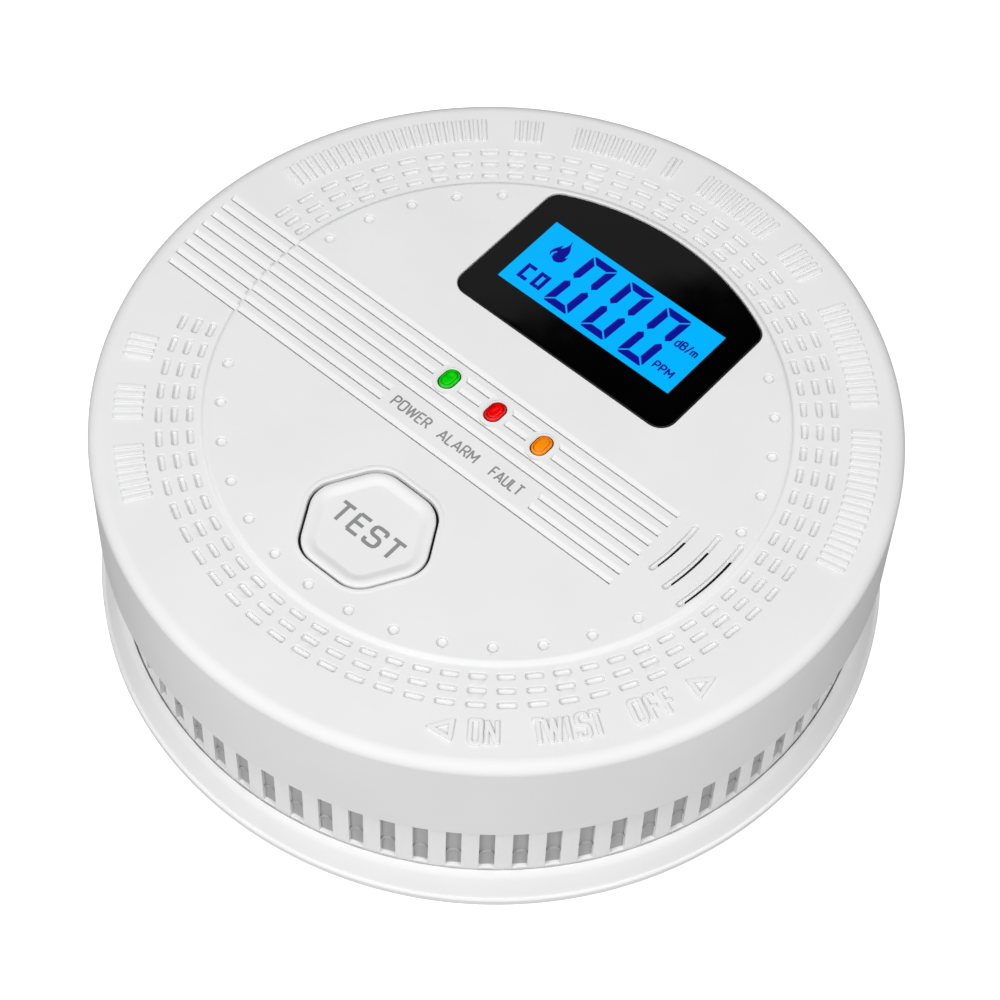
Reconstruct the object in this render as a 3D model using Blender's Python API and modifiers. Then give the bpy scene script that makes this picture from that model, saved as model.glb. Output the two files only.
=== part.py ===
"""Carbon monoxide detector for a wall or ceiling, modelled with Blender 4.5.

Metres. The bracket's back face lies on z = 0, centred on the origin, and +Z points out of the wall
to the front face. +X is the reading direction of the face, so the display is at +Y and the test
button at -Y. Every piece that touches another keeps the same small clearance to it.
"""

import math

import bmesh
import bpy
from mathutils import Matrix, Vector

MM = 0.001

# Clearances
CLEARANCE = 0.3 * MM
BOARD_STANDOFF = 0.5 * MM
LIP_GAP = 0.4 * MM
HOOK_GAP = 0.9 * MM

# Bracket
BRACKET_REACH = 0.8 * MM
BRACKET_PLATE = 3.5 * MM
BRACKET_EDGE = 1.2 * MM
BRACKET_LIP_HEIGHT = 4.7 * MM
BRACKET_LIP_WALL = 0.3 * MM
SCREW_SLOT_RADIUS = 29.0 * MM
SCREW_SLOT_WIDTH = 3.9 * MM
SCREW_SLOT_SPAN = 16.0
SCREW_SLOT_ANGLES = (0.0, 180.0)

# Bayonet between bracket and rear housing
HOOK_COUNT = 4
HOOK_SPAN = 16.0
TOOTH_SPAN = 14.0
HOOK_FIRST = 45.0
HOOK_WALL = 1.4 * MM
HOOK_REACH = 2.2 * MM
HOOK_LIP = 1.0 * MM
HOOK_LIP_SPREAD = 0.1
TOOTH_THICKNESS = 1.3 * MM

# Front cover
COVER_RADIUS = 50.2 * MM
COVER_WALL = 1.6 * MM
FACE_WALL = 2.2 * MM
FRONT_SPACE = 4.1 * MM
RIM_INSET = 1.7 * MM
RIM_DROP = 1.8 * MM
RIM_STEPS = 3
DISC_RADIUS = 36.2 * MM
DISC_STEP = 0.45 * MM

# Rear housing
HOUSING_FLOOR = 1.0 * MM
HOUSING_WALL = 1.4 * MM
HOUSING_PLATE = 1.6 * MM
RECESS_DEPTH = 3.3 * MM
RECESS_RADIUS = 39.5 * MM
SHROUD_INSET = 3.7 * MM
SHROUD_WALL = 1.2 * MM
VENT_COUNT = 75
VENT_FIRST = 2.92
VENT_WIDTH = 1.9 * MM
VENT_HEIGHT = 12.0 * MM
COVER_LAP = 4.2 * MM

# Batteries and their bay
BATTERY_COUNT = 3
BATTERY_DIAMETER = 14.5 * MM
BATTERY_LENGTH = 49.5 * MM
BATTERY_NUB_RADIUS = 2.75 * MM
BATTERY_NUB = 1.0 * MM
BATTERY_BEVEL = 0.5 * MM
BATTERY_SPACING = 0.7 * MM
BAY_WALL = 1.0 * MM
SPRING_LENGTH = 2.7 * MM
SPRING_WIRE = 0.7 * MM
SPRING_TURNS = 2.5
SPRING_TURN_STEPS = 12
SPRING_INSET = 2.5 * MM
CONTACT_THICKNESS = 0.4 * MM
CONTACT_DIMPLE = 2.3 * MM
CONTACT_INSET = 1.5 * MM
CONTACT_SLOPE = 0.5 * MM
DOOR_THICKNESS = 1.3 * MM
DOOR_CORNER = 1.0 * MM
DOOR_GRIP_WIDTH = 12.0 * MM
DOOR_GRIP_DEPTH = 3.0 * MM
DOOR_GRIP_INSET = 6.0 * MM

# Circuit board and what it carries
BOARD_THICKNESS = 1.4 * MM
MICROCONTROLLER_PLACE = (-14.0 * MM, -8.5 * MM)
MICROCONTROLLER_SIZE = (7.0 * MM, 7.0 * MM, 1.2 * MM)
AMPLIFIER_PLACE = (-22.0 * MM, 5.0 * MM)
AMPLIFIER_SIZE = (4.0 * MM, 5.0 * MM, 1.5 * MM)
COIL_PLACE = (15.0 * MM, -9.5 * MM)
COIL_RADIUS = 3.6 * MM
COIL_HEIGHT = 3.2 * MM
CAPACITOR_PLACE = (-17.0 * MM, -22.0 * MM)
CAPACITOR_RADIUS = 2.5 * MM
CAPACITOR_HEIGHT = 3.4 * MM
SENSOR_RADIUS = 8.5 * MM
SENSOR_HEIGHT = 13.4 * MM
SENSOR_CAP_HEIGHT = 1.7 * MM
SENSOR_BEVEL = 0.6 * MM
SENSOR_INLET_RADIUS = 2.1 * MM
SENSOR_PIN_RADIUS = 0.5 * MM
SENSOR_PIN_RING = 4.7 * MM
SENSOR_PIN_ANGLES = (90.0, 210.0, 330.0)
SOUNDER_RADIUS = 8.6 * MM
SOUNDER_HEIGHT = 14.0 * MM
SOUNDER_WALL = 1.0 * MM
SOUNDER_BASE = 1.5 * MM
SOUNDER_OUTLET_RADIUS = 2.1 * MM
SOUNDER_Y = -1.3 * MM
PIEZO_THICKNESS = 0.5 * MM
SWITCH_WIDTH = 6.0 * MM
SWITCH_HEIGHT = 1.7 * MM
PLUNGER_RADIUS = 1.5 * MM
PLUNGER_PROUD = 0.4 * MM
BUTTON_TO_PLUNGER = 0.6 * MM

# Display
LENS_HALF_WIDTH = 17.3 * MM
LENS_BOTTOM = 10.85 * MM
LENS_ARC_RADIUS = 35.4 * MM
LENS_CORNER = 2.2 * MM
LENS_THICKNESS = 0.85 * MM
LENS_SUNK = 0.15 * MM
LENS_LEDGE = 1.7 * MM
GLASS_DEPTH = 16.0 * MM
GLASS_MARGIN = 2.25 * MM
BACKLIGHT_THICKNESS = 1.8 * MM
FRAME_WALL = 1.8 * MM
HEADER_WIDTH = 22.0 * MM
HEADER_DEPTH = 1.6 * MM
HEADER_HEIGHT = 2.2 * MM
HEADER_GAP = 0.7 * MM

# Test button
BUTTON_Y = -23.5 * MM
BUTTON_FLATS = 15.4 * MM
BUTTON_CORNER = 3.2 * MM
BUTTON_WALL = 1.3 * MM
BUTTON_DISH = 0.4 * MM
BUTTON_DISH_CORNER = 2.5 * MM
BUTTON_HOLLOW_CORNER = 2.2 * MM
BUTTON_RIM = 1.9 * MM
BUTTON_STEM_RADIUS = 1.7 * MM

# Indicator lights
LIGHTS = {"green": -7.5 * MM, "red": 0.0, "amber": 7.5 * MM}
LIGHT_Y = -0.5 * MM
LIGHT_WIDTH = 2.0 * MM
LIGHT_LENGTH = 3.0 * MM
LIGHT_PROUD = 0.4 * MM
LIGHT_COLLAR = 0.6 * MM
LIGHT_COLLAR_REACH = 1.2 * MM
LED_CHIP_WIDTH = 1.6 * MM
LED_CHIP_LENGTH = 3.0 * MM
LED_CHIP_HEIGHT = 1.1 * MM

# Grooves and sound slots in the face
GROOVE_COUNT = 8
GROOVE_TOP_Y = 2.7 * MM
GROOVE_PITCH = 1.808 * MM
GROOVE_WIDTH = 0.9 * MM
GROOVE_DEPTH = 0.35 * MM
GROOVE_RIGHT = 26.4 * MM
GROOVE_LEFT_RADIUS = 47.6 * MM
GROOVE_LABEL_ROWS = (5, 6)
GROOVE_LABEL_GAP = 12.0 * MM
GROOVE_LIGHT_ROWS = (1, 2)
GROOVE_LIGHT_GAP = 2.0 * MM
SOUND_SLOTS = ((29.2, -7.0, 2.0), (32.3, -8.5, 3.5), (35.0, -9.0, 3.5))
SOUND_SLOT_WIDTH = 0.8 * MM

# Screws
SCREW_HEAD_RADIUS = 2.7 * MM
SCREW_HEAD_HEIGHT = 1.9 * MM
SCREW_RADIUS = 1.3 * MM
SCREW_BOSS_WALL = 1.6 * MM
HOUSING_SCREW_RADIUS = 36.0 * MM
HOUSING_SCREW_ANGLES = (30.0, 150.0, 210.0, 330.0)
HOUSING_SCREW_LENGTH = 18.0 * MM
BOARD_SCREW_LENGTH = 7.0 * MM

# Facets
LARGE_FACETS = 60
CAN_FACETS = 24
CELL_FACETS = 20
SMALL_FACETS = 16
SCREW_FACETS = 12
PIN_FACETS = 8

# Levels, from the wall outwards
HOUSING_Z = BRACKET_PLATE + CLEARANCE
VENT_Z = HOUSING_Z + HOUSING_FLOOR
RECESS_Z = HOUSING_Z + RECESS_DEPTH
BAY_Z = RECESS_Z + HOUSING_PLATE
SKIRT_Z = VENT_Z + VENT_HEIGHT
BATTERY_Z = BAY_Z + CLEARANCE + BATTERY_DIAMETER / 2
BAY_CEILING_Z = BATTERY_Z + BATTERY_DIAMETER / 2 + CLEARANCE
SENSOR_STACK = SENSOR_HEIGHT + SENSOR_CAP_HEIGHT + CLEARANCE
BOARD_Z = BOARD_STANDOFF + max(BAY_CEILING_Z + BAY_WALL, BAY_Z + CLEARANCE + SENSOR_STACK)
BOARD_TOP_Z = BOARD_Z + BOARD_THICKNESS
COVER_INSIDE_Z = BOARD_TOP_Z + FRONT_SPACE
FACE_Z = COVER_INSIDE_Z + FACE_WALL
BAND_Z = FACE_Z - DISC_STEP

# Radii and plan sizes that follow from the driving sizes
BRACKET_RADIUS = COVER_RADIUS + BRACKET_REACH
HOUSING_RADIUS = COVER_RADIUS - COVER_WALL - CLEARANCE
HOUSING_INSIDE = HOUSING_RADIUS - HOUSING_WALL
SHROUD_RADIUS = HOUSING_RADIUS - SHROUD_INSET
SHROUD_INSIDE = SHROUD_RADIUS - SHROUD_WALL
BRACKET_LIP_RADIUS = HOUSING_RADIUS + LIP_GAP
RECESS_WALL_RADIUS = RECESS_RADIUS + HOUSING_WALL
HOOK_INNER = RECESS_RADIUS - HOOK_GAP - HOOK_WALL - HOOK_REACH
BATTERY_PITCH = BATTERY_DIAMETER + BATTERY_SPACING
BAY_HALF_WIDTH = BATTERY_COUNT * BATTERY_PITCH / 2 + CLEARANCE
BAY_END_ROOM = CLEARANCE * 2 + SPRING_LENGTH
BAY_HALF_LENGTH = (BATTERY_LENGTH + BATTERY_NUB + 2 * BAY_END_ROOM) / 2
BAY_OUTER_HALF_WIDTH = BAY_HALF_WIDTH + BAY_WALL
BAY_OUTER_HALF_LENGTH = BAY_HALF_LENGTH + BAY_WALL
SENSOR_X = -(BAY_OUTER_HALF_WIDTH + CLEARANCE + SENSOR_RADIUS)
SOUNDER_X = BAY_OUTER_HALF_WIDTH + CLEARANCE + SOUNDER_RADIUS
BOARD_RADIUS = SHROUD_INSIDE - CLEARANCE
BOSS_RADIUS = SCREW_RADIUS + CLEARANCE + SCREW_BOSS_WALL
GLASS_WIDTH = 2 * (LENS_HALF_WIDTH - LENS_LEDGE - CLEARANCE)
GLASS_CENTRE_Y = LENS_BOTTOM + GLASS_MARGIN + GLASS_DEPTH / 2
FRAME_TOP_Y = GLASS_CENTRE_Y + GLASS_DEPTH / 2 + FRAME_WALL
BOARD_SCREW_Y = CLEARANCE + max(BAY_OUTER_HALF_LENGTH + BOSS_RADIUS, FRAME_TOP_Y + SCREW_HEAD_RADIUS)
BOARD_SCREWS = ((0.0, BOARD_SCREW_Y), (-16.0 * MM, -BOARD_SCREW_Y), (16.0 * MM, -BOARD_SCREW_Y))
BUTTON_BOTTOM_Z = BOARD_TOP_Z + CLEARANCE + SWITCH_HEIGHT + PLUNGER_PROUD + BUTTON_TO_PLUNGER
GLASS_Z = BOARD_TOP_Z + CLEARANCE + BACKLIGHT_THICKNESS + CLEARANCE
LENS_Z = FACE_Z - LENS_SUNK - LENS_THICKNESS
LEDGE_Z = LENS_Z - CLEARANCE


# Scene and materials

def clear_scene():
    for item in list(bpy.data.objects):
        bpy.data.objects.remove(item, do_unlink=True)


def new_collection(name):
    collection = bpy.data.collections.new(name)
    bpy.context.scene.collection.children.link(collection)
    return collection


def plastic(name, colour, roughness=0.45, metallic=0.0):
    material = bpy.data.materials.new(name)
    material.use_nodes = True
    shader = material.node_tree.nodes["Principled BSDF"]
    shader.inputs["Base Color"].default_value = (*colour, 1.0)
    shader.inputs["Roughness"].default_value = roughness
    shader.inputs["Metallic"].default_value = metallic
    return material


def empty(name, location, parent=None):
    item = bpy.data.objects.new(name, None)
    item.empty_display_size = 0.01
    item.location = location
    item.parent = parent
    parts.objects.link(item)
    return item


# Shapes

def arc(radius, start, end, steps, centre=(0.0, 0.0)):
    """Points on an arc, angles in degrees."""
    points = []
    for i in range(steps + 1):
        angle = math.radians(start + (end - start) * i / steps)
        points.append((centre[0] + radius * math.cos(angle), centre[1] + radius * math.sin(angle)))
    return points


def circle(radius, facets=SMALL_FACETS, centre=(0.0, 0.0)):
    return arc(radius, 0.0, 360.0, facets, centre)[:-1]


def rounded(corners, radius, steps=3):
    """The outline through these corners, each rounded to the radius."""
    outline = []
    for i, corner in enumerate(corners):
        here = Vector(corner)
        back = (Vector(corners[i - 1]) - here).normalized()
        ahead = (Vector(corners[(i + 1) % len(corners)]) - here).normalized()
        half = back.angle(ahead) / 2
        reach = radius / math.tan(half)
        middle = here + (back + ahead).normalized() * radius / math.sin(half)
        first = here + back * reach - middle
        last = here + ahead * reach - middle
        turn = first.angle_signed(last)
        for step in range(steps + 1):
            outline.append(tuple(middle + Matrix.Rotation(-turn * step / steps, 2) @ first))
    return outline


def rectangle(width, depth, centre=(0.0, 0.0), radius=0.0):
    x, y = width / 2, depth / 2
    corners = [(centre[0] + i * x, centre[1] + j * y) for i, j in ((-1, -1), (1, -1), (1, 1), (-1, 1))]
    return rounded(corners, radius) if radius else corners


def sector(inner, outer, middle, span, steps=4):
    """A piece of a flat ring, centred on one angle in degrees."""
    start, end = middle - span / 2, middle + span / 2
    return arc(outer, start, end, steps) + arc(inner, end, start, steps)


def hexagon(flats, radius=BUTTON_CORNER):
    """A hexagon with two flats along X, measured over its flats."""
    corners = arc(flats / 2 / math.cos(math.radians(30)), 0.0, 360.0, 6)[:-1]
    return rounded(corners, radius)


def stadium(width, length, steps=6):
    """A slot outline with round ends, long along Y."""
    reach = (length - width) / 2
    return arc(width / 2, 0.0, 180.0, steps, (0.0, reach)) + arc(width / 2, 180.0, 360.0, steps, (0.0, -reach))


def add_object(name, mesh, collection, material=None, location=(0.0, 0.0, 0.0), parent=None):
    item = bpy.data.objects.new(name, mesh)
    item.location = location
    item.parent = parent
    if material:
        mesh.materials.append(material)
    collection.objects.link(item)
    if collection is tools:
        item.hide_render = True
        item.display_type = "WIRE"
    return item


def solid(name, outlines, low, high, **placing):
    """Flat outlines, the first with any holes after it, made as thick as low to high."""
    curve = bpy.data.curves.new(name, "CURVE")
    curve.dimensions = "2D"
    curve.fill_mode = "BOTH"
    curve.extrude = (high - low) / 2
    for outline in outlines:
        spline = curve.splines.new("POLY")
        spline.points.add(len(outline) - 1)
        for point, (x, y) in zip(spline.points, outline):
            point.co = (x, y, 0.0, 1.0)
        spline.use_cyclic_u = True
    guide = bpy.data.objects.new(name + "_outline", curve)
    tools.objects.link(guide)
    graph = bpy.context.evaluated_depsgraph_get()
    mesh = bpy.data.meshes.new_from_object(guide.evaluated_get(graph))
    bpy.data.objects.remove(guide)
    bm = bmesh.new()
    bm.from_mesh(mesh)
    bmesh.ops.remove_doubles(bm, verts=bm.verts, dist=1e-7)
    bmesh.ops.translate(bm, verts=bm.verts, vec=(0.0, 0.0, (low + high) / 2))
    bmesh.ops.recalc_face_normals(bm, faces=bm.faces)
    bm.to_mesh(mesh)
    bm.free()
    mesh.name = name
    return add_object(name, mesh, **placing)


def turned(name, profile, facets=SMALL_FACETS, closed=False, start=0.0, **placing):
    """A profile of (radius, height) points, down its outer side, turned round Z."""
    mesh = bpy.data.meshes.new(name)
    edges = [(i, i + 1) for i in range(len(profile) - 1)]
    if closed:
        edges.append((len(profile) - 1, 0))
    mesh.from_pydata([(radius, 0.0, height) for radius, height in profile], edges, [])
    item = add_object(name, mesh, **placing)
    item.rotation_euler.z = math.radians(start)
    screw = item.modifiers.new("turn", "SCREW")
    screw.axis = "Z"
    screw.angle = math.tau
    screw.steps = facets
    screw.render_steps = facets
    screw.use_merge_vertices = True
    screw.merge_threshold = 1e-7
    screw.use_smooth_shade = facets > 8
    return item


def pin(name, radius, low, high, facets=SMALL_FACETS, **placing):
    bm = bmesh.new()
    bmesh.ops.create_cone(
        bm, cap_ends=True, segments=facets, radius1=radius, radius2=radius, depth=high - low,
        matrix=Matrix.Translation((0.0, 0.0, (low + high) / 2)),
    )
    mesh = bpy.data.meshes.new(name)
    bm.to_mesh(mesh)
    bm.free()
    return add_object(name, mesh, **placing)


def box(name, low, high, **placing):
    size = Vector(high) - Vector(low)
    middle = (Vector(high) + Vector(low)) / 2
    bm = bmesh.new()
    bmesh.ops.create_cube(bm, size=1.0, matrix=Matrix.Translation(middle) @ Matrix.Diagonal((*size, 1.0)))
    mesh = bpy.data.meshes.new(name)
    bm.to_mesh(mesh)
    bm.free()
    return add_object(name, mesh, **placing)


def joined(name, pieces):
    """Separate tools made one object, each left as its own closed body."""
    bm = bmesh.new()
    for piece in pieces:
        mesh = piece.data.copy()
        mesh.transform(Matrix.Translation(piece.location) @ piece.rotation_euler.to_matrix().to_4x4())
        bm.from_mesh(mesh)
        bpy.data.objects.remove(piece)
    mesh = bpy.data.meshes.new(name)
    bm.to_mesh(mesh)
    bm.free()
    return add_object(name, mesh, tools)


def boolean(item, operation, tool):
    modifier = item.modifiers.new(f"{operation.lower()} {tool.name}", "BOOLEAN")
    modifier.operation = operation
    modifier.solver = "EXACT"
    modifier.object = tool


def cut(item, tool):
    boolean(item, "DIFFERENCE", tool)


def add(item, tool):
    boolean(item, "UNION", tool)


def on_circle(radius, angle):
    return (radius * math.cos(math.radians(angle)), radius * math.sin(math.radians(angle)))


# Bracket

def build_bracket():
    lip = BRACKET_LIP_RADIUS
    bracket = turned(
        "mounting_bracket",
        [
            (0.0, BRACKET_PLATE),
            (lip, BRACKET_PLATE),
            (lip, BRACKET_LIP_HEIGHT),
            (lip + BRACKET_LIP_WALL, BRACKET_LIP_HEIGHT),
            (BRACKET_RADIUS, BRACKET_EDGE),
            (BRACKET_RADIUS, CLEARANCE),
            (BRACKET_RADIUS - CLEARANCE, 0.0),
            (0.0, 0.0),
        ],
        LARGE_FACETS, collection=parts, material=white,
    )
    angles = [HOOK_FIRST + 360.0 * i / HOOK_COUNT for i in range(HOOK_COUNT)]
    root = BRACKET_PLATE / 2
    lip_low = HOUSING_Z + TOOTH_THICKNESS + CLEARANCE
    stem_outer = HOOK_INNER + HOOK_WALL
    hooks = []
    for angle in angles:
        stem = sector(HOOK_INNER, stem_outer, angle, HOOK_SPAN)
        hooks.append(solid("hook_stem", [stem], root, lip_low + HOOK_LIP / 2, collection=tools))
    add(bracket, joined("hook_stems", hooks))
    lips = []
    for angle in angles:
        flat = sector(HOOK_INNER, stem_outer + HOOK_REACH, angle, HOOK_SPAN + HOOK_LIP_SPREAD)
        lips.append(solid("hook_lip", [flat], lip_low, lip_low + HOOK_LIP, collection=tools))
    add(bracket, joined("hook_lips", lips))
    slots = []
    inner, outer = SCREW_SLOT_RADIUS - SCREW_SLOT_WIDTH / 2, SCREW_SLOT_RADIUS + SCREW_SLOT_WIDTH / 2
    for angle in SCREW_SLOT_ANGLES:
        flat = sector(inner, outer, angle, SCREW_SLOT_SPAN)
        slots.append(solid("screw_slot", [flat], -BRACKET_PLATE, 2 * BRACKET_PLATE, collection=tools))
    cut(bracket, joined("screw_slots", slots))


# Rear housing, battery bay and door

def build_rear_housing():
    housing = turned(
        "rear_housing",
        [
            (0.0, BAY_Z),
            (RECESS_WALL_RADIUS, BAY_Z),
            (RECESS_WALL_RADIUS, VENT_Z),
            (SHROUD_INSIDE, VENT_Z),
            (SHROUD_INSIDE, BAY_CEILING_Z),
            (SHROUD_RADIUS, BAY_CEILING_Z),
            (SHROUD_RADIUS, VENT_Z),
            (HOUSING_INSIDE, VENT_Z),
            (HOUSING_INSIDE, SKIRT_Z + COVER_LAP),
            (HOUSING_RADIUS, SKIRT_Z + COVER_LAP),
            (HOUSING_RADIUS, HOUSING_Z),
            (RECESS_RADIUS, HOUSING_Z),
            (RECESS_RADIUS, RECESS_Z),
            (0.0, RECESS_Z),
        ],
        VENT_COUNT, start=VENT_FIRST + 180.0 / VENT_COUNT, collection=parts, material=white, parent=detector,
    )
    low = (-BAY_OUTER_HALF_WIDTH, -BAY_OUTER_HALF_LENGTH, RECESS_Z + HOUSING_PLATE / 2)
    high = (BAY_OUTER_HALF_WIDTH, BAY_OUTER_HALF_LENGTH, BAY_CEILING_Z + BAY_WALL)
    add(housing, box("bay_walls", low, high, collection=tools))
    low = (-BAY_HALF_WIDTH, -BAY_HALF_LENGTH, RECESS_Z - HOUSING_PLATE)
    high = (BAY_HALF_WIDTH, BAY_HALF_LENGTH, BAY_CEILING_Z)

    bosses = []
    boss_low = RECESS_Z + HOUSING_PLATE / 2
    head_room = SCREW_HEAD_RADIUS + CLEARANCE
    for angle in HOUSING_SCREW_ANGLES:
        x, y = on_circle(HOUSING_SCREW_RADIUS, angle)
        bosses.append(pin("boss", head_room + SCREW_BOSS_WALL / 2, boss_low, housing_boss_top(),
                          location=(x, y, 0.0), collection=tools))
    for x, y in BOARD_SCREWS:
        bosses.append(pin("boss", BOSS_RADIUS, boss_low, BOARD_Z - CLEARANCE,
                          location=(x, y, 0.0), collection=tools))
    bosses.append(pin("boss", SOUNDER_RADIUS - SOUNDER_WALL, boss_low, sounder_low() - CLEARANCE,
                      location=(SOUNDER_X, SOUNDER_Y, 0.0), collection=tools))
    add(housing, joined("housing_bosses", bosses))
    cut(housing, box("bay_hollow", low, high, collection=tools))

    holes = []
    for angle in HOUSING_SCREW_ANGLES:
        x, y = on_circle(HOUSING_SCREW_RADIUS, angle)
        holes.append(pin("head", head_room, RECESS_Z - HOUSING_PLATE, housing_screw_seat(),
                         location=(x, y, 0.0), collection=tools))
    cut(housing, joined("screw_heads", holes))
    holes = []
    for angle in HOUSING_SCREW_ANGLES:
        x, y = on_circle(HOUSING_SCREW_RADIUS, angle)
        holes.append(pin("shank", SCREW_RADIUS + CLEARANCE, RECESS_Z, BOARD_Z,
                         location=(x, y, 0.0), collection=tools))
    for x, y in BOARD_SCREWS:
        low_end = BOARD_Z - BOARD_SCREW_LENGTH - 2 * CLEARANCE
        holes.append(pin("pilot", SCREW_RADIUS + CLEARANCE, low_end, BOARD_TOP_Z,
                         location=(x, y, 0.0), collection=tools))
    cut(housing, joined("screw_shanks", holes))

    vents = []
    for i in range(VENT_COUNT):
        angle = VENT_FIRST + 360.0 * i / VENT_COUNT
        vent = box("vent", (HOUSING_INSIDE - HOUSING_WALL / 2, -VENT_WIDTH / 2, VENT_Z),
                   (HOUSING_RADIUS + HOUSING_WALL, VENT_WIDTH / 2, SKIRT_Z - CLEARANCE), collection=tools)
        vent.rotation_euler.z = math.radians(angle)
        vents.append(vent)
    cut(housing, joined("vents", vents))

    teeth = []
    for i in range(HOOK_COUNT):
        flat = sector(HOOK_INNER + HOOK_WALL + CLEARANCE * 2, RECESS_RADIUS + HOUSING_WALL / 2,
                      HOOK_FIRST + 360.0 * i / HOOK_COUNT, TOOTH_SPAN)
        teeth.append(solid("tooth", [flat], HOUSING_Z, HOUSING_Z + TOOTH_THICKNESS, collection=tools))
    add(housing, joined("bayonet_teeth", teeth))


def housing_screw_seat():
    return RECESS_Z + SCREW_HEAD_HEIGHT + 2 * CLEARANCE


def housing_boss_top():
    return housing_screw_seat() + 2 * HOUSING_PLATE


def sounder_low():
    return COVER_INSIDE_Z - CLEARANCE - SOUNDER_HEIGHT


def build_battery_door():
    width = 2 * (BAY_HALF_WIDTH - CLEARANCE)
    length = 2 * (BAY_HALF_LENGTH - CLEARANCE)
    door = solid("battery_door", [rectangle(width, length, radius=DOOR_CORNER)],
                 RECESS_Z, RECESS_Z + DOOR_THICKNESS, collection=parts, material=white, parent=detector)
    grip_centre = (0.0, BAY_HALF_LENGTH - DOOR_GRIP_INSET)
    grip = solid("door_grip", [rectangle(DOOR_GRIP_WIDTH, DOOR_GRIP_DEPTH, grip_centre, DOOR_CORNER)],
                 RECESS_Z - DOOR_THICKNESS, RECESS_Z + DOOR_THICKNESS / 2, collection=tools)
    cut(door, grip)


def build_batteries():
    body = BATTERY_DIAMETER / 2
    profile = [
        (0.0, BATTERY_LENGTH + BATTERY_NUB),
        (BATTERY_NUB_RADIUS, BATTERY_LENGTH + BATTERY_NUB),
        (BATTERY_NUB_RADIUS, BATTERY_LENGTH),
        (body - BATTERY_BEVEL, BATTERY_LENGTH),
        (body, BATTERY_LENGTH - BATTERY_BEVEL),
        (body, BATTERY_BEVEL),
        (body - BATTERY_BEVEL, 0.0),
        (0.0, 0.0),
    ]
    for i in range(BATTERY_COUNT):
        x = (i - (BATTERY_COUNT - 1) / 2) * BATTERY_PITCH
        way = -1.0 if i % 2 else 1.0
        start_y = -way * (BAY_HALF_LENGTH - BAY_END_ROOM)
        cell = turned(f"battery_{i + 1}", profile, CELL_FACETS, collection=parts, material=battery_jacket,
                      location=(x, start_y, BATTERY_Z), parent=detector)
        cell.rotation_euler = (-way * math.pi / 2, 0.0, 0.0)
        build_spring(i + 1, x, way)
        build_contact(i + 1, x, way)


def build_spring(number, x, way):
    """A short conical spring on the flat end of its cell."""
    wide = BATTERY_DIAMETER / 2 - SPRING_INSET
    narrow = wide / 2
    rise = SPRING_LENGTH - SPRING_WIRE
    steps = round(SPRING_TURNS * SPRING_TURN_STEPS)
    curve = bpy.data.curves.new(f"contact_spring_{number}", "CURVE")
    curve.dimensions = "3D"
    curve.bevel_depth = SPRING_WIRE / 2
    curve.bevel_resolution = 1
    curve.use_fill_caps = True
    spline = curve.splines.new("POLY")
    spline.points.add(steps)
    for step in range(steps + 1):
        share = step / steps
        angle = math.tau * SPRING_TURNS * share
        radius = wide + (narrow - wide) * share
        along = way * (share * rise + SPRING_WIRE / 2)
        spline.points[step].co = (radius * math.cos(angle), along, radius * math.sin(angle), 1.0)
    spring = bpy.data.objects.new(f"contact_spring_{number}", curve)
    spring.location = (x, -way * (BAY_HALF_LENGTH - CLEARANCE), BATTERY_Z)
    spring.parent = detector
    curve.materials.append(nickel)
    parts.objects.link(spring)


def build_contact(number, x, way):
    """A plate with a pressed boss that meets the button end of its cell."""
    half = BATTERY_DIAMETER / 2 - CONTACT_INSET
    plate = [
        (0.0, 0.0),
        (BATTERY_NUB_RADIUS, 0.0),
        (BATTERY_NUB_RADIUS + CONTACT_SLOPE, -CONTACT_DIMPLE),
        (half, -CONTACT_DIMPLE),
        (half, -CONTACT_DIMPLE - CONTACT_THICKNESS),
        (0.0, -CONTACT_DIMPLE - CONTACT_THICKNESS),
    ]
    front = BAY_HALF_LENGTH - CLEARANCE - CONTACT_THICKNESS - CONTACT_DIMPLE
    contact = turned(f"contact_plate_{number}", plate, SCREW_FACETS, collection=parts, material=nickel,
                     location=(x, way * front, BATTERY_Z), parent=detector)
    contact.rotation_euler = (way * math.pi / 2, 0.0, 0.0)


# Front cover

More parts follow.
